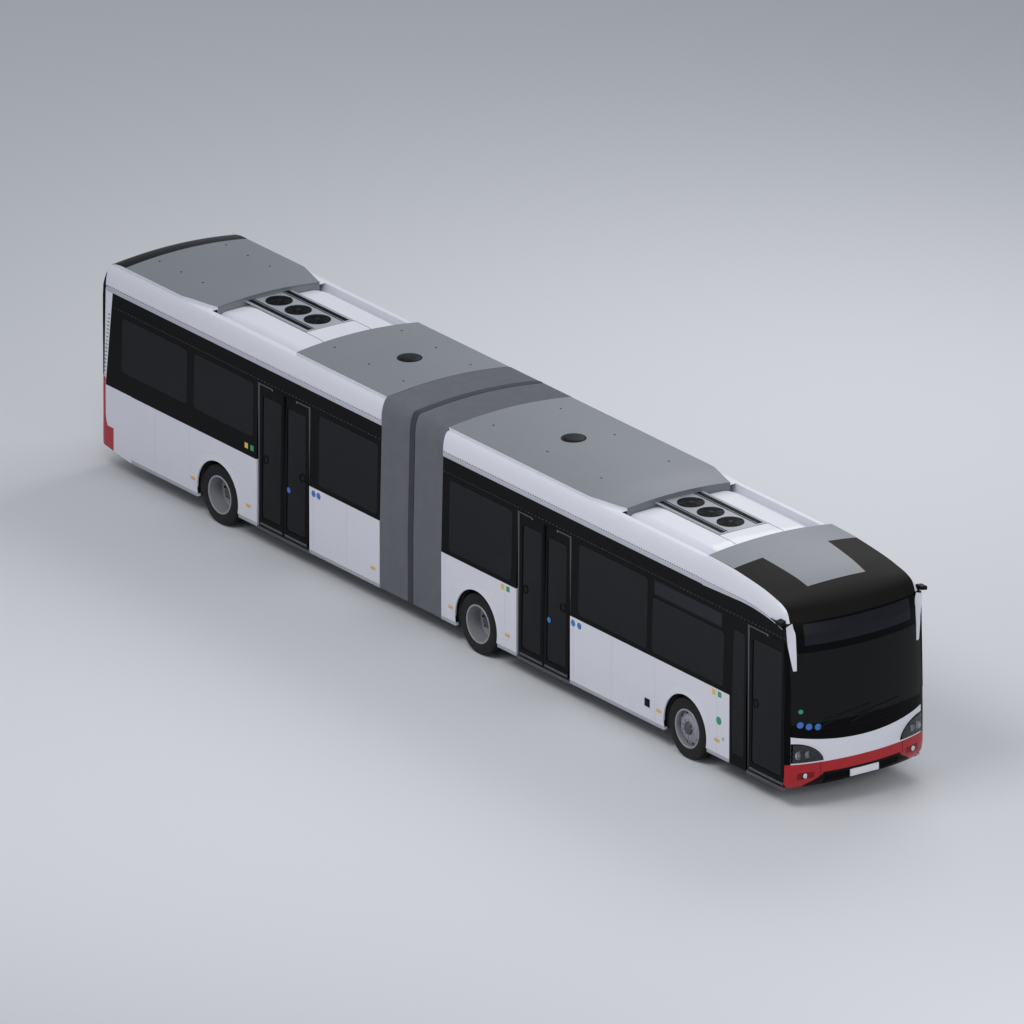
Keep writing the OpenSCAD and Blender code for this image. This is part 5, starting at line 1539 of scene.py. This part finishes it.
def make_tail():
    def skirt_low(x):
        return 0.352 if x > TAIL_X + 0.43 else blend_value(0.405, 0.352, (x - TAIL_X - 0.06) / 0.37)

    def bumper(u, v):
        foot = tail_wrap(u, 0.6)
        low = max(0.352, min(0.405, skirt_low(foot.x)))
        z = blend_value(low, TAIL_BUMPER_TOP, v)
        p = tail_wrap(u, z, 0.004)
        if z < 0.5:
            p.x += (0.5 - z) * 0.5 * max(0.0, 1.0 - abs(2 * u - 1) / 0.8)
        return p
    red = patch("tail_bumper", 120, 12, bumper, TAIL_BODY, RED, 0.020, out=(-1, 0, 0))
    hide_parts("rear_bumper")

    def lower(u, v):
        return tail_wrap(0.075 + 0.85 * u, blend_value(TAIL_BUMPER_TOP + 0.004, 1.42, v))
    patch("tail_lower_panel", 110, 12, lower, TAIL_BODY, WHITE, 0.004, out=(-1, 0, 0))
    for side, label in SIDES:
        def corner(u, v, side=side):
            w = 0.5 + side * blend_value(0.29, 0.4275, u)
            return tail_wrap(w, blend_value(1.42, 2.96, v))
        patch(f"tail_{label}_corner", 24, 24, corner, TAIL_BODY, WHITE, 0.004, out=(-1, side, 0))

        def edge(u, v, side=side):
            z = blend_value(BELT_Z + 0.005, BAND_Z, v)
            x = blend_value(TAIL_CORNER_X - 0.002, blend_value(POST_FOOT_X, POST_HEAD_X, v), u)
            return Vector((x, side * (side_y(z) + 0.0018), z))
        patch(f"tail_{label}_post", 4, 12, edge, TAIL_BODY, WHITE, 0.004, out=(0, side, 0))
        # Vent slots drawn as black bars on the white post: painted shade of the slot openings.
        slots = []
        for i in range(16):
            z = 1.60 + i * 0.062
            x = blend_value(POST_FOOT_X, POST_HEAD_X, (z - BELT_Z) / (BAND_Z - BELT_Z)) - 0.050
            y0, y1 = sorted((side * (side_y(z) - 0.002), side * (side_y(z) + 0.0035)))
            slots.append(box("slot", (x - 0.026, y0, z - 0.007), (x + 0.026, y1, z + 0.007), None, RUBBER,
                             0.002, 1))
        joined(f"tail_{label}_post_slots", slots, TAIL_BODY, RUBBER)
        # lamp cluster: black bezel and round lenses
        lamp_y = 1.040
        def bezel(u, v, side=side):
            p = tail_point(blend_value(lamp_y - 0.070, lamp_y + 0.070, u), blend_value(0.86, 1.46, v), 0.008)
            return on_side(p, side)
        patch(f"tail_{label}_lamp_bezel", 8, 12, bezel, TAIL_BODY, BLACK_SATIN, 0.006, out=(-1, 0, 0))
        lenses = {"red": [], "amber": []}
        for z, kind in ((0.94, "red"), (1.09, "amber"), (1.24, "red"), (1.38, "red")):
            p = tail_point(lamp_y, z, 0.004)
            a = Vector((p.x, side * lamp_y, z))
            material = RED_LENS if kind == "red" else AMBER
            lenses[kind].append(rod("lens", a, a - Vector((0.014, 0, 0)), 0.056, None, material, 32, 0.005))
        lamp = joined(f"tail_{label}_red_lamps", lenses["red"], TAIL_BODY, RED_LENS)
        joined(f"tail_{label}_amber_lamps", lenses["amber"], TAIL_BODY, AMBER)
        if label == "left":
            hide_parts("tail_lamps")
        # red flank of the corner, flowing into the bumper, and the round lamp over it
        def strip(u, v, side=side):
            front = blend_value(0.446, 0.4285, min(1.0, v / 0.22) ** 0.6)
            return tail_wrap(0.5 + side * blend_value(0.395, front, u),
                             blend_value(TAIL_BUMPER_TOP + 0.006, 1.44, v), 0.007)
        patch(f"tail_{label}_red_flank", 8, 24, strip, TAIL_BODY, RED, 0.004, out=(-0.3, side, 0))

        def lens(u, v, side=side):
            a, r = 2.0 * pi * u, sin(v * pi / 2)
            return tail_wrap(0.5 + side * (0.415 + 0.017 * r * cos(a)), 1.455 + 0.052 * r * sin(a),
                             0.008 + 0.012 * cos(v * pi / 2))
        patch(f"tail_{label}_side_lamp", 32, 6, lens, TAIL_BODY, RED_LENS, 0.003, out=(-0.3, side, 0))

    # black upper panel round the rear screen
    ring = rounded_ring(-TAIL_SCREEN[0], TAIL_SCREEN[0], TAIL_SCREEN[1], TAIL_SCREEN[2], 0.09)
    outer = rounded_ring(-BOW_HALF + 0.035, BOW_HALF - 0.035, 1.425, 2.955, 0.04)
    count = len(ring)

    def upper(u, v):
        i = int(round(u * count)) % count
        y, z = blend_value(outer[i][0], ring[i][0], v), blend_value(outer[i][1], ring[i][1], v)
        return tail_point(y, z, 0.004)
    patch("tail_upper_panel", count, 10, upper, TAIL_BODY, BLACK, 0.006, out=(-1, 0, 0))
    seal_in = rounded_ring(-TAIL_SCREEN[0] + 0.018, TAIL_SCREEN[0] - 0.018, TAIL_SCREEN[1] + 0.018,
                           TAIL_SCREEN[2] - 0.018, 0.075)

    def seal(u, v):
        i = int(round(u * count)) % count
        y, z = blend_value(ring[i][0], seal_in[i][0], v), blend_value(ring[i][1], seal_in[i][1], v)
        return tail_point(y, z, 0.005)
    patch("tail_screen_seal", count, 2, seal, TAIL_BODY, RUBBER, 0.005, out=(-1, 0, 0))

    def display(u, v):
        return tail_point(0.52 * (2 * u - 1), blend_value(2.66, 2.88, v), 0.007)
    patch("tail_display", 16, 4, display, TAIL_BODY, DISPLAY, 0.004, out=(-1, 0, 0))

    # smooth black end cap over the roof's rear edge, between white corners that carry the shoulders round
    line = TAIL_LINE[4:]
    base = side_y(BAND_Z)

    def camber(z):
        return COVER_RISE * smooth((z - SHOULDER_Z) / (ROOF_Z - SHOULDER_Z))

    def shoulder_half(z):
        rise = min(1.0, max(0.0, (z - SHOULDER_Z) / (RAIL_Z - SHOULDER_Z)))
        return RAIL_Y + (base - RAIL_Y) * sqrt(1.0 - rise * rise)

    def corner_turn(ahead):
        """How far the corner reaches back and in at the line's distance ahead of the tail."""
        depth = max(0.0, TAIL_CORNER_X - TAIL_X - ahead)
        return depth, min(0.125, 1.39 * depth)

    def cap(u, v):
        ahead, z = curve_at(line, v)
        half = shoulder_half(z - camber(z)) - corner_turn(ahead)[1]
        t = 2.0 * u - 1.0
        return Vector((TAIL_X + ahead - 0.003, half * t, z - camber(z) * t * t + 0.004))
    patch("tail_roof_cap", 64, 40, cap, TAIL_BODY, BLACK, 0.006, out=(-0.3, 0, 1))
    for side, label in SIDES:
        def turn(u, v, side=side):
            ahead, z = curve_at(line, 0.8 * v)
            depth, inset = corner_turn(ahead)
            a = u * pi / 2
            edge = z - camber(z)
            return Vector((TAIL_CORNER_X + 0.004 - (depth + 0.007) * sin(a),
                           side * (shoulder_half(edge) - inset * (1.0 - cos(a)) + 0.0035), edge))
        patch(f"tail_{label}_roof_corner", 16, 32, turn, TAIL_BODY, WHITE, 0.006, out=(-0.4, side, 0.2))

        def riser(u, v, side=side):
            ahead, z = curve_at(line, blend_value(0.45, 1.0, v))
            return Vector((TAIL_X + ahead, side * (RAIL_Y + 0.001),
                           blend_value(RAIL_Z - 0.02, z - camber(z) + 0.002, u)))
        patch(f"tail_{label}_cap_edge", 2, 20, riser, TAIL_BODY, WHITE, 0.006, out=(0, side, 0))

    # grille, blank plate
    slats = []
    for i in range(9):
        z = 0.86 + i * 0.05

        def slat(u, v, z=z):
            return tail_point(0.72 * (2 * u - 1), z + 0.024 * v, 0.010 - 0.006 * v)
        slats.append(patch("slat", 32, 2, slat, None, BLACK_SATIN, 0.006, out=(-1, 0, 0)))
    joined("tail_grille", slats, TAIL_BODY, BLACK_SATIN)

    def plate(u, v):
        return tail_point(0.26 * (2 * u - 1), blend_value(0.545, 0.655, v), 0.012)
    patch("tail_number_plate", 12, 2, plate, TAIL_BODY, WHITE_LABEL, 0.005, out=(-1, 0, 0))


# ------------------------------------------------------------------ inside

SEAT_Z, FLOOR_Z, SEAT_Y, SEAT_W = 0.73, 0.31, 0.780, 0.84
# Backs' positions of the double seats. Columns: section, side, positions
ROWS = [("front", 1.0, (1.96, 2.71, 3.46, 4.21, 4.96)), ("front", -1.0, (3.47, 4.22, 4.97)),
        ("rear", 1.0, (-7.05, -4.72, -3.97, -3.22, -2.47)), ("rear", -1.0, (-7.05, -3.22, -2.47))]


def pad(low, high, crown=0.32):
    """A crowned cushion that fills a box: full in its middle, drawn in along its edges."""
    clear_selection()
    bpy.ops.mesh.primitive_cube_add(size=2.0)
    obj = bpy.context.object
    apply_modifier(obj, "SUBSURF", levels=4, render_levels=4, subdivision_type="SIMPLE")
    middle = (Vector(low) + Vector(high)) / 2
    half = (Vector(high) - Vector(low)) / 2
    for vertex in obj.data.vertices:
        p = vertex.co
        ball = p.normalized()
        soft = p.lerp(ball * 1.12, crown)
        vertex.co = Vector([m + h * min(1.0, max(-1.0, s)) for m, h, s in zip(middle, half, soft)])
    return settle(obj, "pad", None, SEAT_CLOTH, 60)


def make_seat(parts, rear, y, width, base):
    """Cushion, back, shell and foot of one place."""
    half = width / 2 - 0.006
    top = base + SEAT_Z - FLOOR_Z
    parts["pads"].append(pad((rear + 0.055, y - half, top - 0.062), (rear + 0.445, y + half, top)))
    parts["pads"].append(pad((rear + 0.018, y - half, top + 0.03), (rear + 0.070, y + half, top + 0.585)))
    parts["shells"].append(box("shell", (rear + 0.002, y - half, top - 0.068),
                               (rear + 0.440, y + half, top - 0.048), None, SEAT_SHELL, 0.008))
    parts["shells"].append(box("shell", (rear, y - half, top - 0.068), (rear + 0.026, y + half, top + 0.60),
                               None, SEAT_SHELL, 0.011, 3))
    parts["shells"].append(box("foot", (rear + 0.14, y - 0.03, base), (rear + 0.30, y + 0.03, top - 0.06),
                               None, SEAT_SHELL, 0.010))
    # grab handle on the back's upper corner
    parts["handles"].append(rod("handle", (rear + 0.012, y - half * 0.6, top + 0.596),
                                (rear + 0.012, y + half * 0.6, top + 0.596), 0.010, None, RAIL_YELLOW, 12,
                                0.002))


def make_inside():
    sets = {"front": {"pads": [], "shells": [], "handles": []},
            "rear": {"pads": [], "shells": [], "handles": []}}
    for section, side, rows in ROWS:
        for x in rows:
            for shift in (-SEAT_W / 4, SEAT_W / 4):
                make_seat(sets[section], x, side * SEAT_Y + shift, SEAT_W / 2, FLOOR_Z)
    make_seat(sets["front"], 7.56, 0.56, 0.52, FLOOR_Z + 0.25)
    for section, parts in sets.items():
        body = f"{section}_section"
        cushions = joined(f"{section}_seat_cushions", parts["pads"], body, SEAT_CLOTH)
        shells = joined(f"{section}_seat_shells", parts["shells"], body, SEAT_SHELL)
        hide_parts(f"{section}_seats")
        joined(f"{section}_seat_handles", parts["handles"], body, RAIL_YELLOW)
    box("driver_podium", (7.50, 0.25, FLOOR_Z), (8.25, 0.90, FLOOR_Z + 0.25), "front_section", FLOORING,
        0.01)
    # poles by the doors and in the aisle, rails under the ceiling
    poles = {"front": (2.02, 3.29, 4.20, 5.60, 7.40), "rear": (-7.10, -5.20, -4.76, -3.50, -2.40)}
    spans = {"front": (0.30, 7.40), "rear": (-7.20, -1.90)}
    for section, xs in poles.items():
        body = f"{section}_section"
        rods = []
        for x in xs:
            for side in (-1.0, 1.0):
                rods.append(rod("pole", (x, side * 0.37, FLOOR_Z), (x, side * 0.37, 3.04), 0.017, None,
                                RAIL_YELLOW, 16))
        for side in (-1.0, 1.0):
            a, b = spans[section]
            rods.append(rod("rail", (a, side * 0.37, 2.30), (b, side * 0.37, 2.30), 0.016, None,
                            RAIL_YELLOW, 16))
        joined(f"{section}_handrails", rods, body, RAIL_YELLOW)
        a, b = (FRONT_END_X + 0.02, CORNER_X - 0.10) if section == "front" else (TAIL_X + 0.95,
                REAR_END_X - 0.02)
        box(f"{section}_floor_covering", (a, -0.46, FLOOR_Z - 0.002), (b, 0.46, FLOOR_Z + 0.004), body,
            FLOORING, 0.0)
    box("driver_partition", (7.42, 0.20, FLOOR_Z), (7.45, 1.19, 2.20), "front_section", SEAT_SHELL, 0.006)


# ------------------------------------------------------------------ frame nodes that stay

KEPT = {"front_floor": CHASSIS, "front_wheel_boxes": CHASSIS, "rear_floor": CHASSIS,
        "front_lower_panels": WHITE, "rear_lower_panels": WHITE,
        "front_window_band": BLACK, "rear_window_band": BLACK, "front_windows": SIDE_GLASS,
        "rear_windows": SIDE_GLASS,
        "front_roof": WHITE, "rear_roof": WHITE, "front_battery": DARK_METAL, "rear_batteries": DARK_METAL,
        "dashboard": BLACK_SATIN, "tail_panel": BLACK, "turntable": BELLOWS_DARK,
        "front_axle": CHASSIS, "mid_axle": CHASSIS, "rear_axle": CHASSIS, "left_knuckle": CHASSIS,
        "right_knuckle": CHASSIS}


def dress_kept_nodes():
    for name, material in KEPT.items():
        if name in nodes:
            nodes[name].data.materials.clear()
            nodes[name].data.materials.append(material)
    for name in nodes:
        if name.endswith("_post"):
            nodes[name].data.materials.clear()
            nodes[name].data.materials.append(DARK_METAL)


# ------------------------------------------------------------------ the whole bus

make_camera()
make_studio()
make_dome()
make_front()
make_screen_stickers()
make_wipers()
make_camera_pods()
make_roof()
make_bellows()
make_sides()
make_arches()
make_doors()
make_wheels()
make_tail()
make_inside()
dress_kept_nodes()
for piece, node in (("dome_skin", "front_dome"), ("front_windscreen", "windscreen"),
                    ("front_white_mask", "front_mask"),
                    ("left_headlamp_housing", "headlamps"), ("front_red_bumper", "front_bumper")):
    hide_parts(node)
